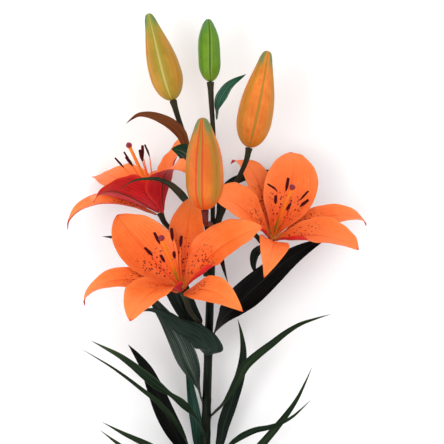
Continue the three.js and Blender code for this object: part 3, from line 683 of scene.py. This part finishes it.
class LilyTepalSettings(bpy.types.PropertyGroup):
    """Tepals: the three inner petals and three outer sepals of each flower."""
    midrib: length("Midrib", "Thickness of a tepal at its midrib", 1.2)
    margin: length("Margin", "Thickness of a tepal at its margins", 0.45)
    petal_ruffle: length("Petal ruffle", "Height of the waves along a petal's margins", 0.8)
    sepal_ruffle: length("Sepal ruffle", "Height of the waves along a sepal's margins", 0.45)
    inner_colour: colour("Inner face", "Orange of the face that looks into the flower", (0.93, 0.165, 0.022))
    inner_light: colour("Inner face, light", "Paler orange towards tips and margins", (1.0, 0.26, 0.062))
    throat_colour: colour("Throat", "Deep orange low in the flower", (0.84, 0.105, 0.014))
    heart_colour: colour("Heart", "Yellow green where a tepal is joined on", (0.62, 0.3, 0.03))
    vein_colour: colour("Veins", "Veins of the inner face", (0.8, 0.075, 0.008))
    speck_colour: colour("Specks", "Raised specks near the throat", (0.2, 0.004, 0.006))
    back_colour: colour("Outer face", "Crimson of the outer face", (0.5, 0.006, 0.012))
    back_dark: colour("Outer face, dark", "Dark streaks of the outer face", (0.25, 0.002, 0.006))
    back_rim: colour("Outer rim", "Orange red rim of the outer face", (0.66, 0.03, 0.014))
    back_rib: colour("Outer midrib", "Dark midrib of the outer face", (0.06, 0.006, 0.004))


class LilyHeartSettings(bpy.types.PropertyGroup):
    """Stamens and pistil."""
    filament: length("Filament", "Radius of a filament at its foot", 0.8)
    anther: length("Anther", "Radius of an anther at its middle", 1.15)
    stigma: length("Stigma", "Radius of the stigma", 2.6)
    filament_base: colour("Filament foot", "Pale foot of the filaments", (0.85, 0.42, 0.08))
    filament_colour: colour("Filament", "Orange of the filaments", (0.9, 0.19, 0.035))
    filament_tip: colour("Filament tip", "Red end of the filaments", (0.85, 0.14, 0.025))
    anther_dark: colour("Anther, dark", "Near black of the anthers", (0.016, 0.002, 0.004))
    anther_light: colour("Anther, light", "Maroon of the anthers", (0.07, 0.004, 0.008))
    pollen_colour: colour("Pollen", "Grains on the anthers", (0.2, 0.028, 0.016))
    ovary_colour: colour("Ovary", "Olive green of the ovary", (0.27, 0.34, 0.02))
    style_colour: colour("Style", "Orange of the style", (0.88, 0.26, 0.02))
    stigma_colour: colour("Stigma colour", "Purple of the stigma", (0.13, 0.008, 0.016))
    stigma_light: colour("Stigma, light", "Rose of the stigma", (0.32, 0.03, 0.05))


class LilyLeafSettings(bpy.types.PropertyGroup):
    """Leaves and bracts."""
    midrib: length("Midrib", "Thickness of a leaf at its midrib", 1.0)
    margin: length("Margin", "Thickness of a leaf at its margins", 0.4)
    ruffle: length("Ruffle", "Height of the waves along a leaf's margins", 0.5)
    ribs: length("Ribs", "Height of the parallel ribs", 0.09)
    dark: colour("Dark", "Near black green of most leaves", (0.0016, 0.0036, 0.0024))
    # Light also stands partly for the painted highlight of the leaves' sheen.
    light: colour("Light", "Grey green lights along the veins", (0.03, 0.05, 0.036))
    tip: colour("Tip", "Olive of the drying tips", (0.022, 0.04, 0.01))
    back: colour("Underside", "Underside of a leaf", (0.004, 0.01, 0.006))


class LilyBudSettings(bpy.types.PropertyGroup):
    """Closed buds."""
    furrow: length("Furrow", "Depth of the furrow along each sepal of a bud", 0.5)
    seam: length("Seam", "Depth of the seams where the sepals meet", 0.7)
    orange: colour("Orange", "Body of an orange bud", (0.62, 0.17, 0.008))
    orange_light: colour("Orange, light", "Lighter patches of an orange bud", (0.8, 0.24, 0.026))
    olive: colour("Olive", "Olive ribs of an orange bud", (0.3, 0.2, 0.018))
    crimson: colour("Crimson", "Crimson lines and base of an orange bud", (0.6, 0.05, 0.008))
    green: colour("Green", "Green shoulders and tips", (0.13, 0.22, 0.02))


class LilyStemSettings(bpy.types.PropertyGroup):
    """Stem and stalks."""
    node_swelling: length("Leaf joints", "Swelling of the stem where a leaf is joined on", 0.7)
    stem_dark: colour("Stem, dark", "Near black green of the stem", (0.0018, 0.003, 0.002))
    stem_light: colour("Stem, light", "Green lights of the stem", (0.012, 0.02, 0.011))
    stem_flush: colour("Stem flush", "Purple brown flush of the stem", (0.006, 0.004, 0.003))
    rind_colour: colour("Cut rind", "Green rind at the cut end", (0.14, 0.22, 0.06))
    pith_colour: colour("Cut pith", "Pale pith at the cut end", (0.55, 0.6, 0.35))
    stalk_dark: colour("Stalk, dark", "Dark side of the stalks", (0.008, 0.009, 0.004))
    stalk_light: colour("Stalk, light", "Olive lights of the stalks", (0.032, 0.03, 0.012))
    stalk_flush: colour("Stalk flush", "Brown flush of the stalks", (0.025, 0.01, 0.006))


class LilyStageSettings(bpy.types.PropertyGroup):
    """Floor, light and camera."""
    floor_colour: colour("Floor", "Pale floor", (0.95, 0.95, 0.95))
    floor_size: FloatProperty(name="Floor size", description="Width of the floor", default=6.0, min=1.0,
                              unit="LENGTH")
    sky_strength: FloatProperty(name="Sky", description="Strength of the even light from all sides", default=1.05,
                                min=0.0)
    key_power: FloatProperty(name="Key light", description="Power of the large soft light", default=9.0, min=0.0,
                             unit="POWER")
    view_height: FloatProperty(name="Camera height", description="Height of the camera over the table",
                               default=1.54835, min=0.1, unit="LENGTH")
    view_width: FloatProperty(name="Framed width", description="Width that the camera takes in at the flowers",
                              default=0.3907, min=0.05, unit="LENGTH")


SETTINGS = {
    "lily_tepals": LilyTepalSettings, "lily_heart": LilyHeartSettings, "lily_leaves": LilyLeafSettings,
    "lily_buds": LilyBudSettings, "lily_stems": LilyStemSettings, "lily_stage": LilyStageSettings,
}

# ---- Tepals ----
# Margins that roll over: which margin (1 or -1), from which share of the length to which, from which place across,
# and the angle that the roll adds, in radians; it curls the margin in over the inner face, so the outer face shows.
ROLLS = {
    "front_flower_petal_2": ((1, 0.03, 0.4, 0.74, 1.5), (-1, 0.03, 0.5, 0.7, 2.1)),
    "front_flower_petal_3": ((1, 0.12, 0.6, 0.86, 1.5),),
    "front_flower_sepal_2": ((1, 0.0, 0.4, 0.7, 1.9), (-1, 0.0, 0.4, 0.7, 1.9)),
    "right_flower_petal_3": ((-1, 0.03, 0.6, 0.76, 1.6),),
    "right_flower_petal_2": ((1, 0.03, 0.5, 0.82, 1.3),),
}


def grow_tepals(kind, settings, ruffle, waves, blunt, columns):
    """Every petal or sepal, each with its own seed for the waves of its margins."""
    material = bpy.data.materials.get("tepal skin") or tepal_finish(settings)
    thick = (settings.midrib / MM, settings.margin / MM)
    for f, flower in enumerate(FLOWERS):
        for k in (1, 2, 3):
            node = f"{flower}_{kind}_{k}"
            blade(f"{node}_skin", node, material, "tepal", 10 * f + k + (3 if kind == "sepal" else 0), steps=170,
                  columns=columns, blunt=blunt, thick=thick, ruffle=ruffle / MM, waves=waves, furrow=0.9,
                  ribs=7, rib_height=0.05, hook=1.2 if kind == "sepal" else 0.8, rolls=ROLLS.get(node, ()))


class LILY_OT_petals(bpy.types.Operator):
    """Grow the three broad inner petals of each flower"""
    bl_idname = "lily.petals"
    bl_label = "Petals"

    def execute(self, context):
        s = context.scene.lily_tepals
        grow_tepals("petal", s, s.petal_ruffle, 2.6, 0.78, 56)
        return {"FINISHED"}


class LILY_OT_sepals(bpy.types.Operator):
    """Grow the three narrow outer sepals of each flower"""
    bl_idname = "lily.sepals"
    bl_label = "Sepals"

    def execute(self, context):
        s = context.scene.lily_tepals
        grow_tepals("sepal", s, s.sepal_ruffle, 2.2, 0.95, 44)
        return {"FINISHED"}


# ---- Stamens and pistils ----
def stamen_paths(node):
    """The middle points of the six stamens of a CAD node, each from the cone to the end of its anther."""
    corners, triangles = welded(node)
    near = touching(corners, triangles)
    ends = np.flatnonzero(near.sum(1) == TUBE_SIDES["stalk"])
    climbed = [(end, climb(near, end, TUBE_SIDES["stalk"])[0]) for end in ends]
    found = [(corners[end], [corners[ring].mean(0) for ring in rings]) for end, rings in climbed if len(rings) >= 5]
    if len(found) != 6:
        raise RuntimeError(f"{node} has {len(found)} stamens and not 6")
    return [np.array([*reversed(rings), end]) for end, rings in found]


def filament(path, foot, radius):
    """One filament: the radius falls along the path to two thirds, with a slight swell at the foot."""
    share = np.linspace(0, 1, 44)
    knots = way_along(path)
    line = spline(knots / knots[-1], path, share)
    thin = radius * (1 - 0.4 * share + 0.35 * hump(share, 0, 0.05))[:, None] * np.ones(14)
    rings, angle = sweep(line, thin, 14)
    return line, rings, tube_fields(line, thin, angle)


def anther(line, radius):
    """One anther: two pollen sacs side by side, so the radius is the half wave of the length to a power, times a
    wave of two round the section, with a crease between the sacs and a slight curve along it."""
    share = np.linspace(0.012, 0.988, 40)
    points = spline(np.linspace(0, 1, len(line)), line, share)
    angle = turns(24)
    full = np.sin(np.pi * share)[:, None] ** 0.7
    sacs = 1 + 0.22 * np.cos(2 * angle) - 0.22 * hump(np.abs(np.cos(angle)), 0, 0.22)
    wide = radius * full * sacs * (1 + 0.05 * np.sin(19 * share)[:, None])
    rings, angle = sweep(points, wide, 24)
    return rings, tube_fields(points, wide, angle)


def joined(name, parts, material, slot, *nodes):
    """One object of several closed skins, each given as (rings, start, end, fields)."""
    pieces = [shell(f"{name}_{k}", *part, material, slot, *nodes) for k, part in enumerate(parts)]
    with bpy.context.temp_override(active_object=pieces[0], selected_editable_objects=pieces,
                                   selected_objects=pieces, object=pieces[0]):
        bpy.ops.object.join()
    pieces[0].name = name
    pieces[0].data.name = name


class LILY_OT_stamens(bpy.types.Operator):
    """Grow the filaments, the anthers and the small cone they stand on"""
    bl_idname = "lily.stamens"
    bl_label = "Stamens"

    def execute(self, context):
        s = context.scene.lily_heart
        filaments, anthers = filament_finish(s), anther_finish(s)
        for flower in FLOWERS:
            node = f"{flower}_stamens"
            pistil, _ = tube_of(f"{flower}_pistil", TUBE_SIDES["pistil"])
            heart = min(pistil[0], pistil[-1], key=lambda p: np.linalg.norm(p - receptacle(flower)))
            axis = unit(pistil[-1] - pistil[0])
            axis = axis if np.linalg.norm(pistil[0] - heart) < MM else -axis
            rods, heads = [], []
            for path in stamen_paths(node):
                down = unit(path[0] - path[1])
                drop = float((path[0] - heart) @ axis) + FOOT_DEPTH
                foot = path[0] + down * drop / max(float(down @ -axis), 0.5)
                foot = foot + (heart - axis * FOOT_DEPTH - foot) * 0.25
                stalk = np.vstack([foot, path[:3]])
                line, rings, fields = filament(stalk, foot, s.filament)
                rods.append((rings, line[0], line[-1], fields))
                head = path[2:]
                rings, fields = anther(head, s.anther)
                heads.append((rings, head[0], head[-1], fields))
            rods.append(cone(heart, axis))
            joined(f"{flower}_filaments", rods, filaments, "stamens", node)
            joined(f"{flower}_anthers", heads, anthers, "stamens", node)
        return {"FINISHED"}


def receptacle(flower):
    """The lowest point of the flower's own frame: the middle of its stalk's wide end."""
    points, radii = tube_of(f"{flower}_stalk", TUBE_SIDES["stalk"])
    return points[-1] if radii[-2] > radii[1] else points[0]


def cone(heart, axis):
    """The receptacle: a short cone under the ovary, domed over the last tenth."""
    share = np.linspace(0.02, 0.98, 16)
    points = heart + axis * ((share - 1) * CONE_HEIGHT)[:, None]
    wide = (CONE_RADIUS * (0.5 + 0.5 * share) * np.sqrt(1 - smooth(share, 0.85, 1.05)))[:, None] * np.ones(20)
    rings, angle = sweep(points, wide, 20)
    fields = tube_fields(points, wide, angle)
    fields["along"] = fields["along"] * 0.05
    return rings, points[0], points[-1], fields


class LILY_OT_pistils(bpy.types.Operator):
    """Grow the ovary, style and three-lobed stigma of each flower"""
    bl_idname = "lily.pistils"
    bl_label = "Pistils"

    def execute(self, context):
        s = context.scene.lily_heart
        material = pistil_finish(s)
        for flower in FLOWERS:
            node = f"{flower}_pistil"
            points, radii = tube_of(node, TUBE_SIDES["pistil"])
            if radii[1] > radii[-2]:
                points, radii = points[::-1], radii[::-1]
            run = way_along(points)
            share = 1 - (1 - np.linspace(0.002, 0.999, 150)) ** 1.25
            line = spline(run / run[-1], points, share)
            angle = turns(STYLE_CORNERS)
            t = share[:, None]
            ovary = hump(t, 0.13, 0.1) * (0.75 + 0.16 * np.cos(6 * angle))
            knob = smooth(t, 0.9, 0.955) * np.sqrt(np.clip(1 - smooth(t, 0.955, 1.0) ** 2, 0.02, 1))
            lobes = 1 + 0.24 * np.cos(3 * angle)
            wide = STYLE_RADIUS * (1 + 0.8 * ovary) * np.sqrt(smooth(t, -0.02, 0.03)) \
                + (s.stigma - STYLE_RADIUS) * knob * lobes
            wide = wide * np.where(t > 0.955, np.sqrt(np.clip(1 - ((t - 0.955) / 0.046) ** 2, 0.01, 1)), 1)
            rings, angle = sweep(line, wide, STYLE_CORNERS)
            shell(f"{flower}_style", rings, line[0], line[-1] - (line[-1] - line[-2]) * 2.0,
                  tube_fields(line, wide, angle), material, "pistil", node)
        return {"FINISHED"}


# ---- Buds ----
# For each bud: its slot and the turn of its sepals about its axis in degrees.
BUDS = {
    "bud_front": ("orange_bud", -14), "bud_right": ("orange_bud", 6), "bud_left": ("orange_bud", -6),
    "bud_green": ("green_bud", 4),
}


def bud_colours(name, s):
    """The colours and shares of one bud: body, streaks, edges, ribs, seams, base and tip."""
    shared = {
        "body": s.orange, "body_light": s.orange_light, "streak": s.crimson, "edge": s.orange_light,
        "edge_share": 0.3, "tip": s.green, "tip_share": 0.75, "base": s.crimson, "base_share": 0.5,
        "rib": s.olive, "flank": s.orange_light, "flank_share": 0.35, "seam": s.crimson,
        "shoulder": (0.1, 0.2, 0.07), "shoulder_share": 0.85,
    }
    own = {
        "bud_front": {"base_share": 0.75, "flank": (0.5, 0.025, 0.008), "flank_share": 0.75, "tip_share": 0.3,
                      "body": (0.6, 0.13, 0.006), "body_light": (0.7, 0.18, 0.012), "edge": (0.33, 0.17, 0.008),
                      "edge_share": 0.9, "rib": (0.26, 0.2, 0.014)},
        "bud_right": {"base": (0.45, 0.2, 0.012), "base_share": 0.5, "tip_share": 0.3, "flank": (0.85, 0.2, 0.03),
                      "edge": (0.42, 0.2, 0.01), "edge_share": 0.75},
        "bud_left": {"body": (0.33, 0.2, 0.01), "body_light": (0.47, 0.25, 0.02), "edge": (0.52, 0.23, 0.022),
                     "edge_share": 0.9, "rib": (0.52, 0.42, 0.13), "flank": (0.27, 0.26, 0.02), "flank_share": 0.9,
                     "tip": (0.2, 0.28, 0.03), "tip_share": 0.85, "base": (0.3, 0.25, 0.03), "base_share": 0.6,
                     "streak": (0.3, 0.16, 0.012), "seam": (0.2, 0.14, 0.02)},
        "bud_green": {"body": (0.09, 0.2, 0.002), "body_light": (0.14, 0.27, 0.006), "edge": (0.07, 0.21, 0.01),
                      "edge_share": 0.75, "tip": (0.05, 0.2, 0.015), "base": (0.18, 0.26, 0.02),
                      "rib": (0.03, 0.09, 0.006), "flank": (0.19, 0.3, 0.035), "flank_share": 0.55,
                      "streak": (0.09, 0.18, 0.006), "seam": (0.03, 0.08, 0.01)},
    }
    return {**shared, **own[name]}


def grow_bud(name, slot, turn, settings, material):
    """A closed bud of three sepals: the radius at each share comes from its solid. Round the section it swells by
    the cosine of three times the angle, with a furrow flanked by two ridges along the middle of each sepal and a
    seam where they meet, one edge of which stands over the other; all of it fades into the base and the tip."""
    points, radii = tube_of(name, TUBE_SIDES["bud"])
    if radii[2] < radii[-3]:
        points, radii = points[::-1], radii[::-1]
    run = np.linalg.norm(points - points[0], axis=1)
    knots = run / run[-1]
    t = (1 - np.cos(np.linspace(0.03, np.pi - 0.03, 150))) / 2
    envelope = lambda x: np.sqrt(1 - (1 - np.minimum(x / 0.3, 1)) ** 2) * np.sqrt(1 - smooth(x, 0.9, 1.02) * 0.75)
    radius = spline(knots[1:-1], radii[1:-1] / envelope(knots[1:-1]), np.clip(t, knots[1], knots[-2]))
    radius = radius * envelope(t) * 1.01
    radius = radius * np.where(t > 0.975, np.sqrt(np.clip(1 - ((t - 0.975) / 0.026) ** 2, 0, 1)), 1)
    line = points[0] + (points[-1] - points[0]) * t[:, None]
    axis = unit(points[-1] - points[0])
    ahead = unit(np.array([0, 0, 1.0]) - axis[2] * axis)
    beside = np.cross(axis, ahead)
    angle = turns(BUD_CORNERS)
    spiral = np.radians(turn) + 0.16 * (t[:, None] - 0.5)
    third = np.mod(angle - spiral + np.pi / 3, 2 * np.pi / 3) - np.pi / 3
    free = (smooth(t, 0.04, 0.22) * (1 - smooth(t, 0.93, 1.0)))[:, None]
    furrow = -hump(third, 0, 0.085) + 0.55 * hump(np.abs(third), 0.2, 0.1)
    gap = np.pi / 3 - np.abs(third)
    edge = -hump(gap, 0, 0.04) + 0.3 * np.where(third > 0, 1, -1) * hump(gap, 0.09, 0.1)
    wide = radius[:, None] * (1 + 0.028 * np.cos(3 * third) * free) \
        + settings.furrow * furrow * free + settings.seam * edge * free
    out = ahead * np.cos(angle)[:, None] + beside * np.sin(angle)[:, None]
    rings = line[:, None] + out * wide[..., None]
    flat = np.stack([wide * np.cos(angle), wide * np.sin(angle), t[:, None] * run[-1] * np.ones(BUD_CORNERS)], -1) / MM
    fields = {"unbent": flat + turn, "along": t[:, None] * np.ones(BUD_CORNERS), "across": third / (np.pi / 3)}
    shell(f"{name}_sepals", rings, points[0], points[-1], fields, material, slot, name)


class LILY_OT_buds(bpy.types.Operator):
    """Grow the closed buds"""
    bl_idname = "lily.buds"
    bl_label = "Buds"

    def execute(self, context):
        s = context.scene.lily_buds
        for name, (slot, turn) in BUDS.items():
            grow_bud(name, slot, turn, s, bud_finish(f"{name} skin", bud_colours(name, s)))
        return {"FINISHED"}


# ---- Stem and stalks ----
def grow_stalk(node, material):
    """A stalk: the radius of its solid with five low ridges round it, and a collar under the flower or bud."""
    points, radii = tube_of(node, TUBE_SIDES["stalk"])
    if radii[1] > radii[-2]:
        points, radii = points[::-1], radii[::-1]
    run = way_along(points)
    t = np.linspace(0, 1, 90)
    line = spline((run / run[-1])[1:-1], points[1:-1], t)
    radius = spline((run / run[-1])[1:-1], radii[1:-1], t)[:, None]
    angle = turns(STALK_CORNERS)
    ridges = 1 + 0.05 * np.cos(5 * angle + 1.5 * t[:, None]) * (1 - smooth(t, 0.85, 1))[:, None]
    collar = 1 + 0.14 * hump(t, 0.99, 0.02)[:, None] + 0.35 * hump(t, 0, 0.03)[:, None]
    wide = radius * ridges * collar
    rings, angle = sweep(line, wide, STALK_CORNERS)
    ends = line[0], line[-1] + (line[-1] - line[-2]) * 0.3
    shell(f"{node}_skin", rings, *ends, tube_fields(line, wide, angle), material, "stalk", node)


class LILY_OT_stalks(bpy.types.Operator):
    """Grow the stalks of the flowers and buds"""
    bl_idname = "lily.stalks"
    bl_label = "Stalks"

    def execute(self, context):
        s = context.scene.lily_stems
        plain = stalk_finish("stalk skin", s.stalk_dark, s.stalk_light, s.stalk_flush)
        purple = stalk_finish("purple stalk skin", (0.05, 0.006, 0.007), (0.12, 0.018, 0.015), (0.07, 0.008, 0.01))
        for node in sorted(n for n in NODES if n.endswith("_stalk")):
            grow_stalk(node, purple if node == "bud_front_stalk" else plain)
        return {"FINISHED"}


class LILY_OT_stem(bpy.types.Operator):
    """Grow the stem with its leaf joints and its cut end"""
    bl_idname = "lily.stem"
    bl_label = "Stem"

    def execute(self, context):
        """The radius of the solid at each share, with nine faint ridges round it and a swelling at each leaf joint,
        which is the product of a bell along the stem and one round it; the cut end is rings of falling radius."""
        s = context.scene.lily_stems
        points, radii = tube_of("stem", TUBE_SIDES["stem"])
        if radii[1] < radii[-2]:
            points, radii = points[::-1], radii[::-1]
        run = way_along(points)
        knots = (run / run[-1])[1:-1]
        t = np.r_[np.zeros(CUT_RINGS), np.linspace(0, 1, STEM_RINGS), np.ones(TIP_RINGS)]
        cap = np.r_[np.linspace(0.1, 0.93, CUT_RINGS), np.ones(STEM_RINGS), np.linspace(0.9, 0.2, TIP_RINGS)]
        line = spline(knots, points[1:-1], t)
        radius = spline(knots, radii[1:-1], t)[:, None]
        tangent, normal, binormal = path_frames(spline(knots, points[1:-1], np.linspace(0, 1, STEM_RINGS)))
        pad = lambda rows: np.repeat(rows, np.r_[CUT_RINGS + 1, np.ones(STEM_RINGS - 2, int), TIP_RINGS + 1], 0)
        tangent, normal, binormal = pad(tangent), pad(normal), pad(binormal)
        angle = turns(STEM_CORNERS)
        wide = radius * (1 + 0.018 * np.cos(9 * angle + 2 * t[:, None]))
        for node in LEAVES:
            foot = foot_of(node)
            near = np.linalg.norm(line - foot, axis=1).argmin()
            if np.linalg.norm(line[near] - foot) < 2.2 * radius[near, 0]:
                off = foot - line[near]
                turn = math.atan2(off @ binormal[near], off @ normal[near])
                apart = np.abs(np.mod(angle - turn + np.pi, 2 * np.pi) - np.pi)
                up = np.linalg.norm(line - line[near], axis=1)[:, None] / MM
                wide = wide + s.node_swelling * hump(up, 0, 2.6) * (0.35 + 0.65 * hump(apart, 0, 0.7))
        wide = wide * cap[:, None]
        out = normal[:, None] * np.cos(angle)[:, None] + binormal[:, None] * np.sin(angle)[:, None]
        sunk = tangent * (0.25 * MM * (1 - cap) * (t < 0.5))[:, None]
        rings = (line + sunk)[:, None] + out * wide[..., None]
        height = t * run[-1]
        flat = np.stack(np.broadcast_arrays(wide * np.cos(angle), wide * np.sin(angle), height[:, None]), -1) / MM
        cut = np.where(t > 0.5, 0, (1 - cap) * 1.05 + 0.08 * (cap < 1))[:, None] * np.ones(STEM_CORNERS)
        fields = {"unbent": flat, "along": t[:, None] * np.ones(STEM_CORNERS), "cut": cut}
        shell("stem_skin", rings, line[0] + sunk[0], line[-1], fields, stem_finish(s), "stem", "stem")
        return {"FINISHED"}


# ---- Leaves ----
# For each leaf and bract: its finish, the seed of its waves and how many ribs run along it.
LEAVES = {
    "leaf_left_striped": ("striped", 31, 5), "leaf_left_folded": ("striped dark", 32, 5),
    "leaf_left_dark": ("dark", 33, 4), "leaf_far_left": ("dark", 34, 4), "leaf_right_broad": ("black", 35, 6),
    "leaf_right_upright": ("dark", 36, 4), "leaf_right_arching": ("olive", 37, 3),
    "leaf_left_twisted": ("rimmed", 38, 3), "leaf_left_black": ("black", 39, 5),
    "leaf_left_thread": ("olive", 40, 2), "leaf_low_left_upper": ("olive", 41, 2),
    "leaf_low_left_lower": ("olive", 42, 2), "leaf_low_right_long": ("olive", 43, 2),
    "leaf_low_right_thin": ("rimmed", 44, 2), "leaf_beside_stem": ("teal", 45, 3),
    "bract_small": ("brown", 46, 2), "bract_right_flower": ("dark", 47, 2), "bract_far_right": ("dark", 48, 2),
    "bract_back_flower": ("green bract", 49, 2), "bract_back": ("green bract", 50, 5),
    "bract_left_bud": ("red bract", 51, 3), "bract_green_bud": ("blue bract", 52, 3),
}


def leaf_finishes(s):
    """The finishes of the leaves, by name: dark, light, tip and underside colours, then how much rim, veins, streaks
    and painted sheen show; the light colour is partly painted highlight."""
    return {
        "dark": leaf_finish("dark leaf skin", s.dark, s.light, s.tip, s.back, stripe=0.75),
        "black": leaf_finish("black leaf skin", (0.0006, 0.0007, 0.0006), (0.014, 0.014, 0.013), s.dark, s.dark,
                             stripe=0.5, gloss=0.3),
        # The striped finish carries the strongest painted highlight: a pale grey green light colour with a large sheen
        # share.
        "striped": leaf_finish("striped leaf skin", (0.0022, 0.006, 0.004), (0.11, 0.15, 0.12), s.light, s.back,
                               count=11, stripe=1.0, painted_sheen=0.75),
        "striped dark": leaf_finish("dark striped leaf skin", (0.0016, 0.004, 0.0028), (0.032, 0.055, 0.04), s.light,
                                    (0.003, 0.009, 0.006), count=9, stripe=0.9, rim=0.4, painted_sheen=0.35),
        "olive": leaf_finish("olive leaf skin", (0.003, 0.008, 0.004), (0.03, 0.055, 0.022), (0.035, 0.06, 0.014),
                             s.back, rim=0.3, count=5, painted_sheen=0.35),
        "rimmed": leaf_finish("rimmed leaf skin", (0.002, 0.0075, 0.0035), (0.025, 0.05, 0.022), (0.06, 0.1, 0.035),
                              s.back, rim=0.6, count=4),
        "teal": leaf_finish("teal leaf skin", (0.004, 0.022, 0.016), (0.035, 0.09, 0.065), (0.03, 0.07, 0.05), s.back,
                            count=5, painted_sheen=0.3),
        "brown": leaf_finish("brown bract skin", (0.012, 0.004, 0.003), (0.07, 0.02, 0.01), (0.02, 0.05, 0.008),
                             (0.03, 0.007, 0.005), count=4),
        "green bract": leaf_finish("green bract skin", (0.002, 0.016, 0.008), (0.09, 0.15, 0.1), (0.01, 0.06, 0.02),
                                   (0.003, 0.022, 0.01), count=6, painted_sheen=0.4),
        "red bract": leaf_finish("red bract skin", (0.085, 0.022, 0.006), (0.2, 0.06, 0.018), (0.02, 0.085, 0.02),
                                 (0.1, 0.028, 0.008), rim=0.3, count=5),
        "blue bract": leaf_finish("blue bract skin", (0.002, 0.042, 0.014), (0.1, 0.21, 0.16), (0.002, 0.065, 0.018),
                                  (0.004, 0.022, 0.01), count=5, painted_sheen=0.6),
    }


def foot_of(node):
    """The middle of the base of a leaf's solid."""
    return blade_of(node)["centre"][0]


class LILY_OT_leaves(bpy.types.Operator):
    """Grow the leaves and bracts"""
    bl_idname = "lily.leaves"
    bl_label = "Leaves"

    def execute(self, context):
        s = context.scene.lily_leaves
        finishes = leaf_finishes(s)
        thick = (s.midrib / MM, s.margin / MM)
        for node, (finish, seed, ribs) in LEAVES.items():
            blade(f"{node}_skin", node, finishes[finish], "leaf", seed, columns=34, blunt=0.92, thick=thick,
                  ruffle=s.ruffle / MM, waves=1.8, furrow=0.45, ribs=ribs, rib_height=s.ribs / MM)
        return {"FINISHED"}


# ---- Stage ----
def soft_light(name, spot, aim, size, power):
    """A square area light at the spot, turned to look at the aim."""
    lamp = bpy.data.lights.new(name, "AREA")
    lamp.shape, lamp.size, lamp.energy = "SQUARE", size, power
    piece = bpy.data.objects.new(name, lamp)
    bpy.context.scene.collection.objects.link(piece)
    piece.location = spot
    piece.rotation_mode = "QUATERNION"
    piece.rotation_quaternion = (aim - piece.location).to_track_quat("-Z", "Y")


def floor_finish(tint):
    def write(r):
        place = r.node("ShaderNodeTexCoord").outputs["Object"]
        cloud = r.noise(place, 3.0, 2.0)
        return {"colour": r.mix(r.band(cloud, 0.3, 0.7, 0.0, 0.02), tint, (0.9, 0.9, 0.9)), "roughness": 0.8}
    return finish_nodes("pale floor", write, **{"Specular IOR Level": 0.2})


class LILY_OT_stage(bpy.types.Operator):
    """Lay the pale floor and set the soft light and the camera that looks down on it"""
    bl_idname = "lily.stage"
    bl_label = "Stage"

    def execute(self, context):
        s, scene = context.scene.lily_stage, context.scene
        low, high = CAD_BOX
        middle = (low + high) / 2
        mesh = bpy.data.meshes.new("floor")
        half = s.floor_size / 2
        mesh.from_pydata([(-half, -half, 0), (half, -half, 0), (half, half, 0), (-half, half, 0)], [], [(0, 1, 2, 3)])
        mesh.materials.append(floor_finish(s.floor_colour))
        floor = bpy.data.objects.new("floor", mesh)
        scene.collection.objects.link(floor)
        world = bpy.data.worlds.new("even light")
        world.use_nodes = True
        back = world.node_tree.nodes["Background"]
        back.inputs["Color"].default_value = (1, 1, 1, 1)
        back.inputs["Strength"].default_value = s.sky_strength
        scene.world = world
        soft_light("key light", (-0.9, -0.3, 1.3), middle, 0.9, s.key_power)
        soft_light("fill light", (1.1, 0.8, 1.2), middle, 1.2, 0.35 * s.key_power)
        scene.view_settings.view_transform = "Standard"
        scene.view_settings.look = "None"
        camera = bpy.data.objects.new("camera", bpy.data.cameras.new("camera"))
        scene.collection.objects.link(camera)
        camera.location = (*CAMERA_SPOT, s.view_height)
        look = Vector(CAMERA_AIM) - camera.location
        side = look.cross((0, 1, 0)).normalized()
        camera.rotation_mode = "QUATERNION"
        turned = Matrix((side, side.cross(look).normalized(), -look.normalized())).transposed()
        camera.rotation_quaternion = turned.to_quaternion()
        camera.data.sensor_width = 36.0
        camera.data.lens = 36.0 * look.length / s.view_width
        camera.data.clip_start, camera.data.clip_end = 0.05, 20.0
        scene.camera = camera
        return {"FINISHED"}


OPERATORS = (
    LILY_OT_petals, LILY_OT_sepals, LILY_OT_stamens, LILY_OT_pistils, LILY_OT_buds, LILY_OT_stalks, LILY_OT_stem,
    LILY_OT_leaves, LILY_OT_stage,
)


class LILY_PT_pieces(bpy.types.Panel):
    """The pieces of the lily and the sizes and colours of each"""
    bl_idname = "LILY_PT_pieces"
    bl_label = "Cut lily stem"
    bl_space_type = "VIEW_3D"
    bl_region_type = "UI"
    bl_category = "Lily"

    def draw(self, context):
        for operator in OPERATORS:
            self.layout.operator(operator.bl_idname)
        for key, kind in SETTINGS.items():
            box = self.layout.box()
            box.label(text=kind.__doc__)
            for name in kind.__annotations__:
                box.prop(getattr(context.scene, key), name)


CLASSES = (*SETTINGS.values(), *OPERATORS, LILY_PT_pieces)


def register():
    for kind in CLASSES:
        bpy.utils.register_class(kind)
    for key, kind in SETTINGS.items():
        setattr(bpy.types.Scene, key, PointerProperty(type=kind))


def unregister():
    for key in SETTINGS:
        delattr(bpy.types.Scene, key)
    for kind in reversed(CLASSES):
        bpy.utils.unregister_class(kind)


def main():
    register()
    make_groups()
    for operator in OPERATORS:
        module, name = operator.bl_idname.split(".")
        getattr(getattr(bpy.ops, module), name)()
    bpy.context.view_layer.update()


if __name__ == "__main__":
    main()
